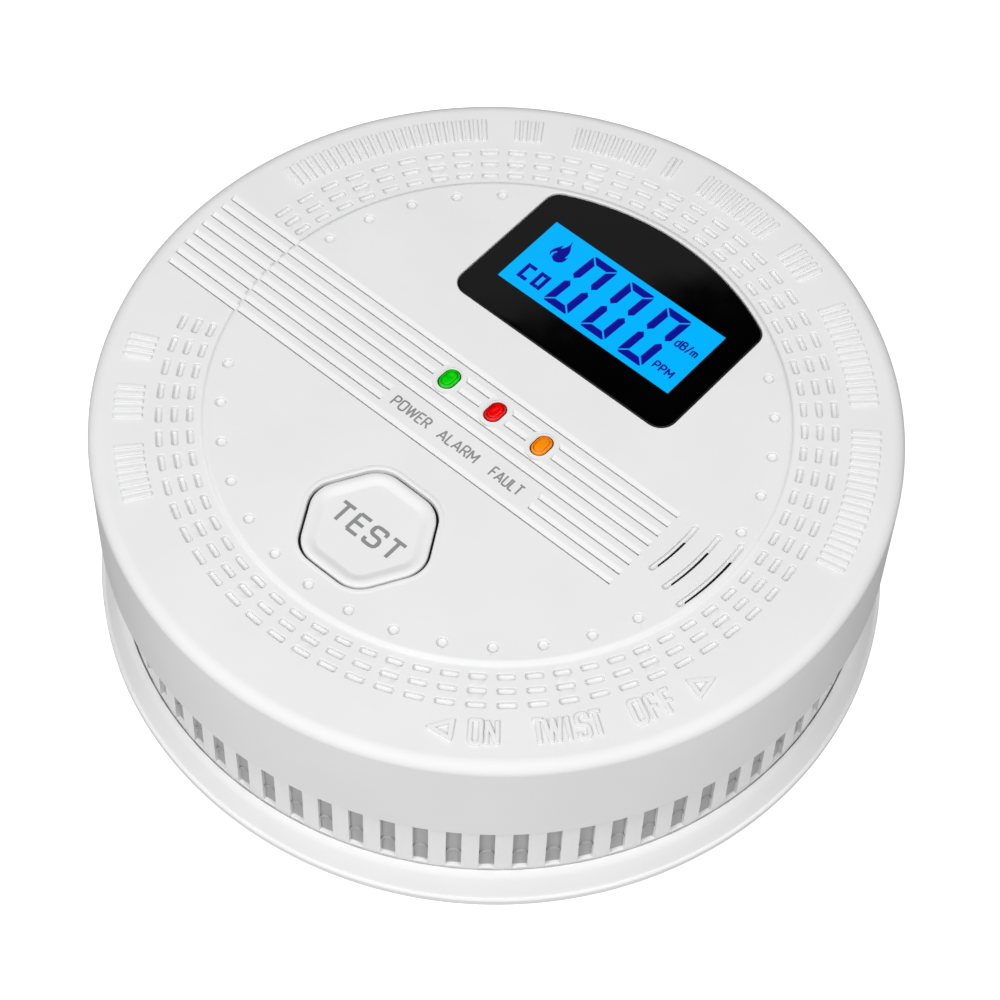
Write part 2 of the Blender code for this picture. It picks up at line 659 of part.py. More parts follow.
def build_front_cover():
    inside = COVER_RADIUS - COVER_WALL
    rim = []
    for step in range(RIM_STEPS + 1):
        angle = math.pi / 2 * step / RIM_STEPS
        out, down = RIM_INSET * (1 - math.sin(angle)), (RIM_DROP - DISC_STEP) * (1 - math.cos(angle))
        rim.append((COVER_RADIUS - out, BAND_Z - down))
    cover = turned(
        "front_cover",
        [
            (0.0, FACE_Z),
            (DISC_RADIUS - DISC_STEP, FACE_Z),
            (DISC_RADIUS, BAND_Z),
            *rim,
            (COVER_RADIUS, SKIRT_Z),
            (inside, SKIRT_Z),
            (inside, COVER_INSIDE_Z),
            (0.0, COVER_INSIDE_Z),
        ],
        LARGE_FACETS, collection=parts, material=white, parent=detector,
    )
    bosses = []
    for angle in HOUSING_SCREW_ANGLES:
        x, y = on_circle(HOUSING_SCREW_RADIUS, angle)
        bosses.append(pin("boss", BOSS_RADIUS, housing_boss_top() + CLEARANCE, FACE_Z - FACE_WALL / 2,
                          location=(x, y, 0.0), collection=tools))
    add(cover, joined("cover_bosses", bosses))
    pilots = []
    for angle in HOUSING_SCREW_ANGLES:
        x, y = on_circle(HOUSING_SCREW_RADIUS, angle)
        pilots.append(pin("pilot", SCREW_RADIUS + CLEARANCE, housing_screw_seat(), COVER_INSIDE_Z,
                          location=(x, y, 0.0), collection=tools))
    cut(cover, joined("cover_pilots", pilots))

    cut(cover, solid("lens_pocket", [lens_outline(CLEARANCE)], LEDGE_Z, FACE_Z + FACE_WALL, collection=tools))
    window = rectangle(GLASS_WIDTH + 2 * CLEARANCE, GLASS_DEPTH + 2 * CLEARANCE, (0.0, GLASS_CENTRE_Y))
    cut(cover, solid("glass_window", [window], BOARD_TOP_Z, FACE_Z, collection=tools))
    cut(cover, solid("button_hole", [hexagon(BUTTON_FLATS + 2 * CLEARANCE, BUTTON_CORNER + CLEARANCE)],
                     BOARD_TOP_Z, FACE_Z + FACE_WALL, location=(0.0, BUTTON_Y, 0.0), collection=tools))

    holes = []
    for x in LIGHTS.values():
        outline = stadium(LIGHT_WIDTH + 2 * CLEARANCE, LIGHT_LENGTH + 2 * CLEARANCE)
        holes.append(solid("light_hole", [outline], BOARD_TOP_Z, FACE_Z + FACE_WALL,
                           location=(x, LIGHT_Y, 0.0), collection=tools))
    for radius, start, end in SOUND_SLOTS:
        half = SOUND_SLOT_WIDTH / 2
        outline = sector(radius * MM - half, radius * MM + half, (start + end) / 2, end - start)
        holes.append(solid("sound_slot", [outline], BOARD_TOP_Z, FACE_Z + FACE_WALL, collection=tools))
    cut(cover, joined("face_holes", holes))
    cut(cover, joined("grooves", groove_tools()))


def lens_outline(grow=0.0):
    """Straight sides and bottom under an arc that is concentric with the face."""
    half = LENS_HALF_WIDTH + grow
    arc_radius = LENS_ARC_RADIUS + grow
    corner = LENS_CORNER + grow
    inner = arc_radius - corner
    across = half - corner
    up = math.sqrt(inner**2 - across**2)
    tangent = math.degrees(math.atan2(up, across))
    low = LENS_BOTTOM - grow + corner
    return (
        arc(corner, -90.0, 0.0, 4, (across, low))
        + arc(corner, 0.0, tangent, 4, (across, up))
        + arc(arc_radius, tangent, 180.0 - tangent, 12)[1:-1]
        + arc(corner, 180.0 - tangent, 180.0, 4, (-across, up))
        + arc(corner, 180.0, 270.0, 4, (-across, low))
    )


def groove_runs(row):
    """The (start, end) stretches of one groove along X."""
    y = GROOVE_TOP_Y - row * GROOVE_PITCH
    left = -math.sqrt(GROOVE_LEFT_RADIUS**2 - y**2)
    if row in GROOVE_LABEL_ROWS:
        return y, [(left, -GROOVE_LABEL_GAP), (GROOVE_LABEL_GAP, GROOVE_RIGHT)]
    if row in GROOVE_LIGHT_ROWS:
        stops = [left]
        for x in LIGHTS.values():
            stops += [x - GROOVE_LIGHT_GAP, x + GROOVE_LIGHT_GAP]
        stops.append(GROOVE_RIGHT)
        return y, list(zip(stops[::2], stops[1::2]))
    return y, [(left, GROOVE_RIGHT)]


def groove_tools():
    pieces = []
    for row in range(GROOVE_COUNT):
        y, runs = groove_runs(row)
        for start, end in runs:
            low = (start, y - GROOVE_WIDTH / 2, BAND_Z - GROOVE_DEPTH)
            pieces.append(box("groove", low, (end, y + GROOVE_WIDTH / 2, FACE_Z + FACE_WALL), collection=tools))
    return pieces


# Display

def build_display():
    solid("display_lens", [lens_outline()], LENS_Z, LENS_Z + LENS_THICKNESS,
          collection=parts, material=lens_black, parent=detector)
    centre = (0.0, GLASS_CENTRE_Y)
    solid("lcd_glass", [rectangle(GLASS_WIDTH, GLASS_DEPTH, centre)], GLASS_Z, LEDGE_Z,
          collection=parts, material=display_blue, parent=detector)
    solid("lcd_backlight", [rectangle(GLASS_WIDTH, GLASS_DEPTH, centre)], BOARD_TOP_Z + CLEARANCE,
          GLASS_Z - CLEARANCE, collection=parts, material=milk_white, parent=detector)
    inner = rectangle(GLASS_WIDTH + 2 * CLEARANCE, GLASS_DEPTH + 2 * CLEARANCE, centre)
    outer = rectangle(GLASS_WIDTH + 2 * FRAME_WALL, GLASS_DEPTH + 2 * FRAME_WALL, centre)
    solid("lcd_frame", [outer, inner], BOARD_TOP_Z + CLEARANCE, COVER_INSIDE_Z - CLEARANCE,
          collection=parts, material=milk_white, parent=detector)
    low = BOARD_TOP_Z + CLEARANCE
    header_y = GLASS_CENTRE_Y - GLASS_DEPTH / 2 - FRAME_WALL - HEADER_GAP
    box("lcd_header", (-HEADER_WIDTH / 2, header_y - HEADER_DEPTH, low),
        (HEADER_WIDTH / 2, header_y, low + HEADER_HEIGHT),
        collection=parts, material=dark_plastic, parent=detector)


# Test button and its switch

def build_button():
    flange_top = COVER_INSIDE_Z - CLEARANCE
    guide = empty("button_guide", (0.0, BUTTON_Y, BUTTON_BOTTOM_Z), detector)
    top = FACE_Z - BUTTON_BOTTOM_Z
    flange_outline = hexagon(BUTTON_FLATS + 2 * BUTTON_WALL, BUTTON_CORNER + BUTTON_WALL)
    button = solid("test_button", [hexagon(BUTTON_FLATS)], 0.0, top,
                   collection=parts, material=white, parent=guide)
    add(button, solid("button_flange", [flange_outline], 0.0, flange_top - BUTTON_BOTTOM_Z,
                      location=(0.0, BUTTON_Y, BUTTON_BOTTOM_Z), collection=tools))
    dish = solid("button_dish", [hexagon(BUTTON_FLATS - 2 * BUTTON_RIM, BUTTON_DISH_CORNER)],
                 top - BUTTON_DISH, top + BUTTON_WALL,
                 location=(0.0, BUTTON_Y, BUTTON_BOTTOM_Z), collection=tools)
    cut(button, dish)
    hollow = solid(
        "button_hollow",
        [hexagon(BUTTON_FLATS - 2 * BUTTON_WALL, BUTTON_HOLLOW_CORNER), circle(BUTTON_STEM_RADIUS)],
        -BUTTON_WALL, top - BUTTON_DISH - BUTTON_WALL,
        location=(0.0, BUTTON_Y, BUTTON_BOTTOM_Z), collection=tools,
    )
    cut(button, hollow)


def build_switch():
    low = BOARD_TOP_Z + CLEARANCE
    half = SWITCH_WIDTH / 2
    body = box("tact_switch_body", (-half, BUTTON_Y - half, low), (half, BUTTON_Y + half, low + SWITCH_HEIGHT),
               collection=parts, material=dark_plastic, parent=detector)
    well_floor = low + SWITCH_HEIGHT / 3
    cut(body, pin("plunger_well", PLUNGER_RADIUS + CLEARANCE, well_floor, low + 2 * SWITCH_HEIGHT,
                  location=(0.0, BUTTON_Y, 0.0), collection=tools))
    guide = empty("plunger_guide", (0.0, BUTTON_Y, low), detector)
    pin("tact_switch_plunger", PLUNGER_RADIUS, SWITCH_HEIGHT / 3 + 2 * CLEARANCE,
        SWITCH_HEIGHT + PLUNGER_PROUD, collection=parts, material=dark_plastic, parent=guide)


# Indicator lights

def build_lights():
    collar_top = COVER_INSIDE_Z - CLEARANCE
    chip_low = BOARD_TOP_Z + CLEARANCE
    chip_top = chip_low + LED_CHIP_HEIGHT
    pipe_low = chip_top + CLEARANCE
    half_width, half_length = LED_CHIP_WIDTH / 2, LED_CHIP_LENGTH / 2
    for colour, x in LIGHTS.items():
        place = (x, LIGHT_Y, 0.0)
        pipe = solid(f"light_pipe_{colour}", [stadium(LIGHT_WIDTH, LIGHT_LENGTH)], pipe_low,
                     FACE_Z + LIGHT_PROUD, location=place, collection=parts,
                     material=light_colours[colour], parent=detector)
        collar = stadium(LIGHT_WIDTH + 2 * LIGHT_COLLAR_REACH, LIGHT_LENGTH + 2 * LIGHT_COLLAR_REACH)
        add(pipe, solid(f"collar_{colour}", [collar], collar_top - LIGHT_COLLAR, collar_top,
                        location=place, collection=tools))
        box(f"led_chip_{colour}", (-half_width, -half_length, chip_low), (half_width, half_length, chip_top),
            location=place, collection=parts, material=milk_white, parent=detector)


# Circuit board and its components

def build_board():
    holes = [circle(SOUNDER_RADIUS + CLEARANCE, CAN_FACETS, (SOUNDER_X, SOUNDER_Y))]
    for angle in HOUSING_SCREW_ANGLES:
        holes.append(circle(BOSS_RADIUS + CLEARANCE, SCREW_FACETS, on_circle(HOUSING_SCREW_RADIUS, angle)))
    for centre in BOARD_SCREWS:
        holes.append(circle(SCREW_RADIUS + CLEARANCE, SCREW_FACETS, centre))
    for centre in sensor_pins():
        holes.append(circle(SENSOR_PIN_RADIUS + CLEARANCE, PIN_FACETS, centre))
    solid("main_board", [circle(BOARD_RADIUS, LARGE_FACETS), *holes], BOARD_Z, BOARD_TOP_Z,
          collection=parts, material=board_green, parent=detector)
    top = BOARD_TOP_Z + CLEARANCE
    chips = {
        "microcontroller": (MICROCONTROLLER_PLACE, MICROCONTROLLER_SIZE),
        "sensor_amplifier": (AMPLIFIER_PLACE, AMPLIFIER_SIZE),
    }
    for name, ((x, y), (width, depth, height)) in chips.items():
        box(name, (x - width / 2, y - depth / 2, top), (x + width / 2, y + depth / 2, top + height),
            collection=parts, material=dark_plastic, parent=detector)
    pin("boost_coil", COIL_RADIUS, top, top + COIL_HEIGHT, location=(*COIL_PLACE, 0.0),
        collection=parts, material=dark_plastic, parent=detector)
    pin("capacitor", CAPACITOR_RADIUS, top, top + CAPACITOR_HEIGHT, location=(*CAPACITOR_PLACE, 0.0),
        collection=parts, material=nickel, parent=detector)


def sensor_pins():
    """Three pins on a circle inside the sensor's rim."""
    places = [on_circle(SENSOR_PIN_RING, angle) for angle in SENSOR_PIN_ANGLES]
    return [(SENSOR_X + x, y) for x, y in places]


def build_sensor():
    top = BOARD_Z - BOARD_STANDOFF
    low = top - SENSOR_HEIGHT
    shoulder = SENSOR_RADIUS - SENSOR_BEVEL
    place = (SENSOR_X, 0.0, 0.0)
    can = turned(
        "co_sensor_can",
        [(0.0, top), (shoulder, top), (SENSOR_RADIUS, top - SENSOR_BEVEL), (SENSOR_RADIUS, low), (0.0, low)],
        CAN_FACETS, location=place, collection=parts, material=steel, parent=detector,
    )
    pins = [pin("sensor_pin", SENSOR_PIN_RADIUS, top - SENSOR_BEVEL, BOARD_TOP_Z + CLEARANCE, PIN_FACETS,
                location=(x, y, 0.0), collection=tools) for x, y in sensor_pins()]
    add(can, joined("sensor_pins", pins))
    cap_top = low - CLEARANCE
    cap_low = cap_top - SENSOR_CAP_HEIGHT
    turned(
        "co_sensor_cap",
        [(SENSOR_INLET_RADIUS, cap_top), (SENSOR_RADIUS, cap_top), (SENSOR_RADIUS, cap_low + SENSOR_BEVEL),
         (shoulder, cap_low), (SENSOR_INLET_RADIUS, cap_low)],
        CAN_FACETS, closed=True, location=place, collection=parts, material=milk_white, parent=detector,
    )


def build_sounder():
    low, high = sounder_low(), COVER_INSIDE_Z - CLEARANCE
    inside = SOUNDER_RADIUS - SOUNDER_WALL
    place = (SOUNDER_X, SOUNDER_Y, 0.0)
    turned(
        "sounder_case",
        [(SOUNDER_OUTLET_RADIUS, high), (SOUNDER_RADIUS, high), (SOUNDER_RADIUS, low), (inside, low),
         (inside, high - SOUNDER_WALL), (SOUNDER_OUTLET_RADIUS, high - SOUNDER_WALL)],
        CAN_FACETS, closed=True, location=place, collection=parts, material=dark_plastic, parent=detector,
    )
    fit = inside - CLEARANCE
    base_top = low + SOUNDER_BASE
    pin("sounder_base", fit, low, base_top, CAN_FACETS, location=place, collection=parts,
        material=dark_plastic, parent=detector)
    disc_low = base_top + CLEARANCE
    pin("piezo_disc", fit, disc_low, disc_low + PIEZO_THICKNESS, CAN_FACETS, location=place, collection=parts,
        material=brass, parent=detector)


# Screws

def screw(name, place, seat, way, length):
    """A pan-head screw whose shank runs from its seat along +Z or -Z."""
    head = SCREW_HEAD_HEIGHT
    bevel = SCREW_HEAD_RADIUS / 3
    profile = [
        (0.0, head),
        (SCREW_HEAD_RADIUS - bevel, head),
        (SCREW_HEAD_RADIUS, head - bevel),
        (SCREW_HEAD_RADIUS, 0.0),
        (SCREW_RADIUS, 0.0),
        (SCREW_RADIUS, SCREW_RADIUS - length),
        (0.0, -length),
    ]
    item = turned(name, profile, SCREW_FACETS, location=(*place, seat), collection=parts,
                  material=steel, parent=detector)
    item.rotation_euler = (math.pi if way > 0 else 0.0, 0.0, 0.0)


def build_screws():
    for i, angle in enumerate(HOUSING_SCREW_ANGLES, 1):
        screw(f"housing_screw_{i}", on_circle(HOUSING_SCREW_RADIUS, angle),
              housing_screw_seat() - CLEARANCE, 1, HOUSING_SCREW_LENGTH)
    for i, place in enumerate(BOARD_SCREWS, 1):
        screw(f"board_screw_{i}", place, BOARD_TOP_Z + CLEARANCE, -1, BOARD_SCREW_LENGTH)


clear_scene()
parts = new_collection("carbon_monoxide_detector")
tools = new_collection("cutters")

white = plastic("white_abs", (0.80, 0.80, 0.79), 0.42)
milk_white = plastic("milk_white", (0.88, 0.88, 0.86), 0.5)
dark_plastic = plastic("dark_plastic", (0.03, 0.03, 0.035), 0.5)
lens_black = plastic("lens_black", (0.004, 0.004, 0.005), 0.06)
display_blue = plastic("display_blue", (0.0, 0.45, 1.0), 0.3)
board_green = plastic("board_green", (0.02, 0.16, 0.06), 0.4)
battery_jacket = plastic("battery_jacket", (0.08, 0.09, 0.11), 0.35)
nickel = plastic("nickel", (0.72, 0.70, 0.66), 0.28, 1.0)
steel = plastic("steel", (0.56, 0.57, 0.58), 0.35, 1.0)
brass = plastic("brass", (0.75, 0.58, 0.28), 0.3, 1.0)
light_colours = {
    "green": plastic("light_green", (0.0, 0.75, 0.05), 0.15),
    "red": plastic("light_red", (0.85, 0.0, 0.01), 0.15),
    "amber": plastic("light_amber", (0.95, 0.42, 0.0), 0.15),
}

detector = empty("detector_pivot", (0.0, 0.0, 0.0))
build_bracket()
build_rear_housing()
build_battery_door()
build_batteries()
build_front_cover()
build_display()
build_button()
build_switch()
build_lights()
build_board()
build_sensor()
build_sounder()
build_screws()
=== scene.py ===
"""The looks of the carbon monoxide detector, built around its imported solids.

Metres, in the frame of the solids: the bracket's back face lies on z = 0 and the front face looks
along +Z. +X is the reading direction of the face, the display is at +Y and the test button at -Y.
"""

import math

import bpy
from mathutils import Matrix, Vector


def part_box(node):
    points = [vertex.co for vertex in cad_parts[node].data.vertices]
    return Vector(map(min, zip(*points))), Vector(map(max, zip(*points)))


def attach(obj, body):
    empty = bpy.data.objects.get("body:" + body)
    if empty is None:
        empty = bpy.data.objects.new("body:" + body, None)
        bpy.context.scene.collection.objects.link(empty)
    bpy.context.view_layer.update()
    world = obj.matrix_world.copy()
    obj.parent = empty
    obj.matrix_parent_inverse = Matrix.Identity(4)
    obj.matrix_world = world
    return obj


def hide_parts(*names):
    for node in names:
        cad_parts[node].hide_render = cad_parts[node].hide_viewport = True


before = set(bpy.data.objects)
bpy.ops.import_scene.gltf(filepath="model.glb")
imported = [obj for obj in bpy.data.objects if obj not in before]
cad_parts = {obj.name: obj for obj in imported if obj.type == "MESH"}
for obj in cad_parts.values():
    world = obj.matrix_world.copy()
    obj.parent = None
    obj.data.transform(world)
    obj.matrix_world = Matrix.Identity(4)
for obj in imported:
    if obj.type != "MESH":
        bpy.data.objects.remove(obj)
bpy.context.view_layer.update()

MM = 0.001
ROUND = 240

# Levels and radii that the solids give
COVER_LOW, COVER_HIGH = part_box("front_cover")
LENS_LOW, LENS_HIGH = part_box("display_lens")
GLASS_LOW, GLASS_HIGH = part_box("lcd_glass")
BUTTON_LOW, BUTTON_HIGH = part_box("test_button")
BRACKET_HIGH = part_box("mounting_bracket")[1]

FACE_Z = COVER_HIGH.z
SKIRT_Z = 16.8 * MM
COVER_RADIUS = COVER_HIGH.x
BAND_Z = FACE_Z - 0.45 * MM
INSIDE_Z = FACE_Z - 2.2 * MM
DISC_RADIUS = 36.2 * MM
BUTTON_Y = (BUTTON_LOW.y + BUTTON_HIGH.y) / 2

# Places that more than one piece shares
LIGHT_CENTRES = [(x * MM, -0.5 * MM) for x in (-7.5, 0.0, 7.5)]
SCREW_ANGLES = (30.0, 150.0, 210.0, 330.0)
SCREW_CIRCLE = 36.0 * MM
HOOK_ANGLES = (45.0, 135.0, 225.0, 315.0)
HOOK_INSIDE = 35.0 * MM
LEGEND_RADIUS = 45.25 * MM
VENT_COUNT, FIRST_VENT = 75, 2.92
# The direction that the front of the scene faces, in degrees round from -Y
FRONT_TURN = 38.07

# Each sound slot, in millimetres: its radius, the recess from end to end, the slit from end to end
SOUND_SLOTS = (
    (29.1, (-5.1, 2.7), (-4.0, 0.4)),
    (32.1, (-6.1, 3.5), (-5.0, 1.1)),
    (35.0, (-6.9, 4.4), (-5.9, 1.9)),
)
SLIT_OFFSET = 0.14

# The twist legend: word, start and end, in degrees past FRONT_TURN
TWIST_LEGEND = (("ON", 268.5, 273.3), ("TWIST", 277.8, 288.7), ("OFF", 292.7, 300.0))
# The runs of plain scale marks on the rest of the band
MARK_RUNS = (
    (4.7, 25.2), (31.2, 38.3), (42.2, 57.2), (62.0, 64.0), (66.5, 80.3), (85.3, 90.3), (94.5, 129.2),
    (333.3, 360.5), (168.7, 173.8), (178.5, 185.5), (190.0, 200.8),
)


# Drawing with Blender's own tools

def nothing_selected():
    if bpy.context.mode != "OBJECT":
        bpy.ops.object.mode_set(mode="OBJECT")
    bpy.ops.object.select_all(action="DESELECT")


def only(item):
    nothing_selected()
    item.select_set(True)
    bpy.context.view_layer.objects.active = item


def pen(name, points):
    """An open line drawn point by point. It is left in edit mode."""
    nothing_selected()
    bpy.ops.mesh.primitive_plane_add(size=MM)
    item = bpy.context.object
    item.name = item.data.name = name
    bpy.ops.object.mode_set(mode="EDIT")
    bpy.ops.mesh.select_mode(type="VERT")
    bpy.ops.mesh.select_all(action="SELECT")
    bpy.ops.mesh.merge(type="CENTER")
    bpy.ops.transform.translate(value=points[0])
    for before, here in zip(points, points[1:]):
        step = Vector(here) - Vector(before)
        bpy.ops.mesh.extrude_region_move(TRANSFORM_OT_translate={"value": step})
    return item


def close_line(item, count):
    """Joins the ends of the open line with one more edge."""
    bpy.ops.object.mode_set(mode="OBJECT")
    for vertex in item.data.vertices:
        vertex.select = vertex.index in (0, count - 1)
    bpy.ops.object.mode_set(mode="EDIT")
    bpy.ops.mesh.select_mode(type="VERT")
    bpy.ops.mesh.edge_face_add()
    bpy.ops.mesh.select_all(action="SELECT")


def outward():
    bpy.ops.mesh.select_all(action="SELECT")
    bpy.ops.mesh.normals_make_consistent(inside=False)
    bpy.ops.object.mode_set(mode="OBJECT")


def lathe(name, profile, steps=ROUND, closed=False):
    """A profile of (radius, height) points turned round Z. Open ends are filled flat."""
    item = pen(name, [(radius, 0.0, height) for radius, height in profile])
    if closed:
        close_line(item, len(profile))
    bpy.ops.mesh.select_all(action="SELECT")
    bpy.ops.mesh.spin(steps=steps, angle=math.tau, center=(0.0, 0.0, 0.0), axis=(0.0, 0.0, 1.0))
    bpy.ops.mesh.select_all(action="SELECT")
    bpy.ops.mesh.remove_doubles(threshold=1e-6)
    if not closed:
        bpy.ops.mesh.select_all(action="SELECT")
        bpy.ops.mesh.fill_holes(sides=0)
    outward()
    return item


def sheet_of(name, outline, height):
    """One flat face with this outline, left in edit mode and selected."""
    item = pen(name, [(x, y, height) for x, y in outline])
    close_line(item, len(outline))
    bpy.ops.mesh.edge_face_add()
    bpy.ops.mesh.select_mode(type="FACE")
    bpy.ops.mesh.select_all(action="SELECT")
    return item


def plate(name, outline, low, high, flares=()):
    """A flat piece from low to high. Each flare is one more step at the top: (outward, upward)."""
    item = sheet_of(name, outline, low)
    bpy.ops.mesh.normals_make_consistent(inside=False)
    bpy.ops.mesh.extrude_region_move(TRANSFORM_OT_translate={"value": (0.0, 0.0, high - low)})
    for out, up in flares:
        bpy.ops.mesh.extrude_region_move(TRANSFORM_OT_translate={"value": (0.0, 0.0, up)})
        spread_selection(item, out)
    outward()
    return item


def spread_selection(item, out):
    """Moves the selected top ring outwards along its own corners' bisectors."""
    bpy.ops.object.mode_set(mode="OBJECT")
    face = next(face for face in item.data.polygons if face.select)
    places = [item.data.vertices[i].co.copy() for i in face.vertices]
    way = 1.0 if face.normal.z > 0 else -1.0
    for i, index in enumerate(face.vertices):
        back = (places[i] - places[i - 1]).normalized()
        ahead = (places[(i + 1) % len(places)] - places[i]).normalized()
        normal = Vector((back.y + ahead.y, -back.x - ahead.x, 0.0)).normalized() * way
        slant = max(0.5, normal.dot(Vector((ahead.y, -ahead.x, 0.0)) * way))
        item.data.vertices[index].co = places[i] + normal * out / slant
    bpy.ops.object.mode_set(mode="EDIT")


def arc(radius, start, end, steps, centre=(0.0, 0.0)):
    points = []
    for i in range(steps + 1):
        angle = math.radians(start + (end - start) * i / steps)
        points.append((centre[0] + radius * math.cos(angle), centre[1] + radius * math.sin(angle)))
    return points


def rounded(corners, radius, steps=4):
    """The outline through these corners, each rounded to the radius."""
    outline = []
    for i, corner in enumerate(corners):
        here = Vector(corner)
        back = (Vector(corners[i - 1]) - here).normalized()
        ahead = (Vector(corners[(i + 1) % len(corners)]) - here).normalized()
        half = back.angle(ahead) / 2
        middle = here + (back + ahead).normalized() * radius / math.sin(half)
        first = here + back * radius / math.tan(half) - middle
        last = here + ahead * radius / math.tan(half) - middle
        turn = first.angle_signed(last)
        for step in range(steps + 1):
            outline.append(tuple(middle + Matrix.Rotation(-turn * step / steps, 2) @ first))
    return outline


def oblong(width, depth, radius, centre=(0.0, 0.0), steps=4):
    x, y = width / 2, depth / 2
    corners = [(centre[0] + i * x, centre[1] + j * y) for i, j in ((-1, -1), (1, -1), (1, 1), (-1, 1))]
    return rounded(corners, radius, steps)


def stadium(width, length, centre=(0.0, 0.0), steps=12):
    """A slot outline with round ends, long along Y."""
    reach = (length - width) / 2
    upper = arc(width / 2, 0.0, 180.0, steps, (centre[0], centre[1] + reach))
    return upper + arc(width / 2, 180.0, 360.0, steps, (centre[0], centre[1] - reach))


def bent_slot(radius, width, start_y, end_y, steps=10, tip=4):
    """A slot with round ends along an arc round the centre, near +X, from one height to another."""
    start, end = (math.degrees(math.asin(y / radius)) for y in (start_y, end_y))
    half = width / 2
    ends = [(radius * math.cos(math.radians(a)), radius * math.sin(math.radians(a))) for a in (start, end)]
    return (
        arc(radius + half, start, end, steps)
        + arc(half, end, end + 180.0, tip * 2, ends[1])[1:-1]
        + arc(radius - half, end, start, steps)
        + arc(half, start + 180.0, start + 360.0, tip * 2, ends[0])[1:-1]
    )


def hexagon(flats, radius, steps=10):
    corners = arc(flats / 2 / math.cos(math.radians(30.0)), 0.0, 360.0, 6)[:-1]
    return rounded(corners, radius, steps)


def moved(outline, x, y):
    return [(a + x, b + y) for a, b in outline]


def copies_round(item, angles, name):
    """One joined object of copies turned round Z to each angle, in degrees."""
    made = []
    for angle in angles:
        twin = item.copy()
        twin.data = item.data.copy()
        twin.data.transform(Matrix.Rotation(math.radians(angle), 4, "Z"))
        bpy.context.scene.collection.objects.link(twin)
        made.append(twin)
    bpy.data.objects.remove(item)
    return joined(made, name)


def joined(items, name):
    nothing_selected()
    for item in items:
        item.select_set(True)
    bpy.context.view_layer.objects.active = items[0]
    bpy.ops.object.join()
    result = bpy.context.object
    result.name = result.data.name = name
    return result


def boolean(item, tool, operation="DIFFERENCE"):
    modifier = item.modifiers.new(operation.lower(), "BOOLEAN")
    modifier.operation = operation
    modifier.solver = "EXACT"
    modifier.object = tool
    only(item)
    bpy.ops.object.modifier_apply(modifier=modifier.name)
    bpy.data.objects.remove(tool)


def soft_shading(item, angle=30.0, weighted=False):
    only(item)
    bpy.ops.object.shade_smooth_by_angle(angle=math.radians(angle))
    if weighted:
        modifier = item.modifiers.new("flat faces", "WEIGHTED_NORMAL")
        modifier.keep_sharp = True
        modifier.weight = 100
        bpy.ops.object.modifier_apply(modifier=modifier.name)


# Letters as strokes: each has its width and its lines, in cap heights
BOWL = 0.28
GLYPHS = {
    "A": (0.62, [((0, 0), (0.31, 1)), ((0.62, 0), (0.31, 1)), ((0.11, 0.3), (0.51, 0.3))]),
    "B": (0.52, [
        ((0, 0), (0, 1)), ((0, 1), (0.46, 1), (0.46, 0.54), (0, 0.54)),
        ((0, 0.54), (0.52, 0.54), (0.52, 0), (0, 0)),
    ]),
    "E": (0.46, [((0, 0), (0, 1)), ((0, 1), (0.46, 1)), ((0, 0.52), (0.40, 0.52)), ((0, 0), (0.46, 0))]),
    "F": (0.46, [((0, 0), (0, 1)), ((0, 1), (0.46, 1)), ((0, 0.52), (0.40, 0.52))]),
    "I": (0.0, [((0, 0), (0, 1))]),
    "L": (0.44, [((0, 0), (0, 1)), ((0, 0), (0.44, 0))]),
    "M": (0.66, [
        ((0, 0), (0, 1)), ((0.66, 0), (0.66, 1)), ((0, 1), (0.33, 0.3)), ((0.66, 1), (0.33, 0.3)),
    ]),
    "N": (0.54, [((0, 0), (0, 1)), ((0.54, 0), (0.54, 1)), ((0, 1), (0.54, 0))]),
    "O": (0.56, [((0.28, 1), (0.56, 1), (0.56, 0), (0, 0), (0, 1), (0.28, 1))]),
    "P": (0.50, [((0, 0), (0, 1)), ((0, 1), (0.50, 1), (0.50, 0.46), (0, 0.46))]),
    "R": (0.52, [
        ((0, 0), (0, 1)), ((0, 1), (0.50, 1), (0.50, 0.48), (0, 0.48)), ((0.26, 0.48), (0.52, 0)),
    ]),
    "S": (0.52, [
        ((0.52, 0.76), (0.52, 1), (0, 1), (0, 0.53), (0.52, 0.53), (0.52, 0), (0, 0), (0, 0.24)),
    ]),
    "T": (0.52, [((0, 1), (0.52, 1)), ((0.26, 0), (0.26, 1))]),
    "U": (0.54, [((0, 1), (0, 0), (0.54, 0), (0.54, 1))]),
    "W": (0.84, [
        ((0, 1), (0.21, 0)), ((0.42, 1), (0.21, 0)), ((0.42, 1), (0.63, 0)), ((0.84, 1), (0.63, 0)),
    ]),
    "d": (0.44, [((0.44, 0), (0.44, 1)), ((0.44, 0.66), (0, 0.66), (0, 0), (0.44, 0))]),
    "m": (0.64, [
        ((0, 0), (0, 0.66)), ((0, 0.66), (0.32, 0.66), (0.32, 0)),
        ((0.32, 0.66), (0.64, 0.66), (0.64, 0)),
    ]),
    "/": (0.34, [((0, -0.1), (0.34, 1.1))]),
}
# Crossing strokes end at slightly different heights, so that no two tops lie in one plane
STROKE_STEP = 0.0015 * MM


def softened(line, radius, steps=3):
    """An open line with its inner corners rounded."""
    points = [line[0]]
    for back, here, ahead in zip(line, line[1:], line[2:]):
        here = Vector(here)
        first, last = Vector(back) - here, Vector(ahead) - here
        reach = min(radius, first.length * 0.49, last.length * 0.49)
        first, last = here + first.normalized() * reach, here + last.normalized() * reach
        for step in range(steps + 1):
            t = step / steps
            points.append(tuple((1 - t) ** 2 * first + 2 * t * (1 - t) * here + t * t * last))
    return points + [line[-1]]


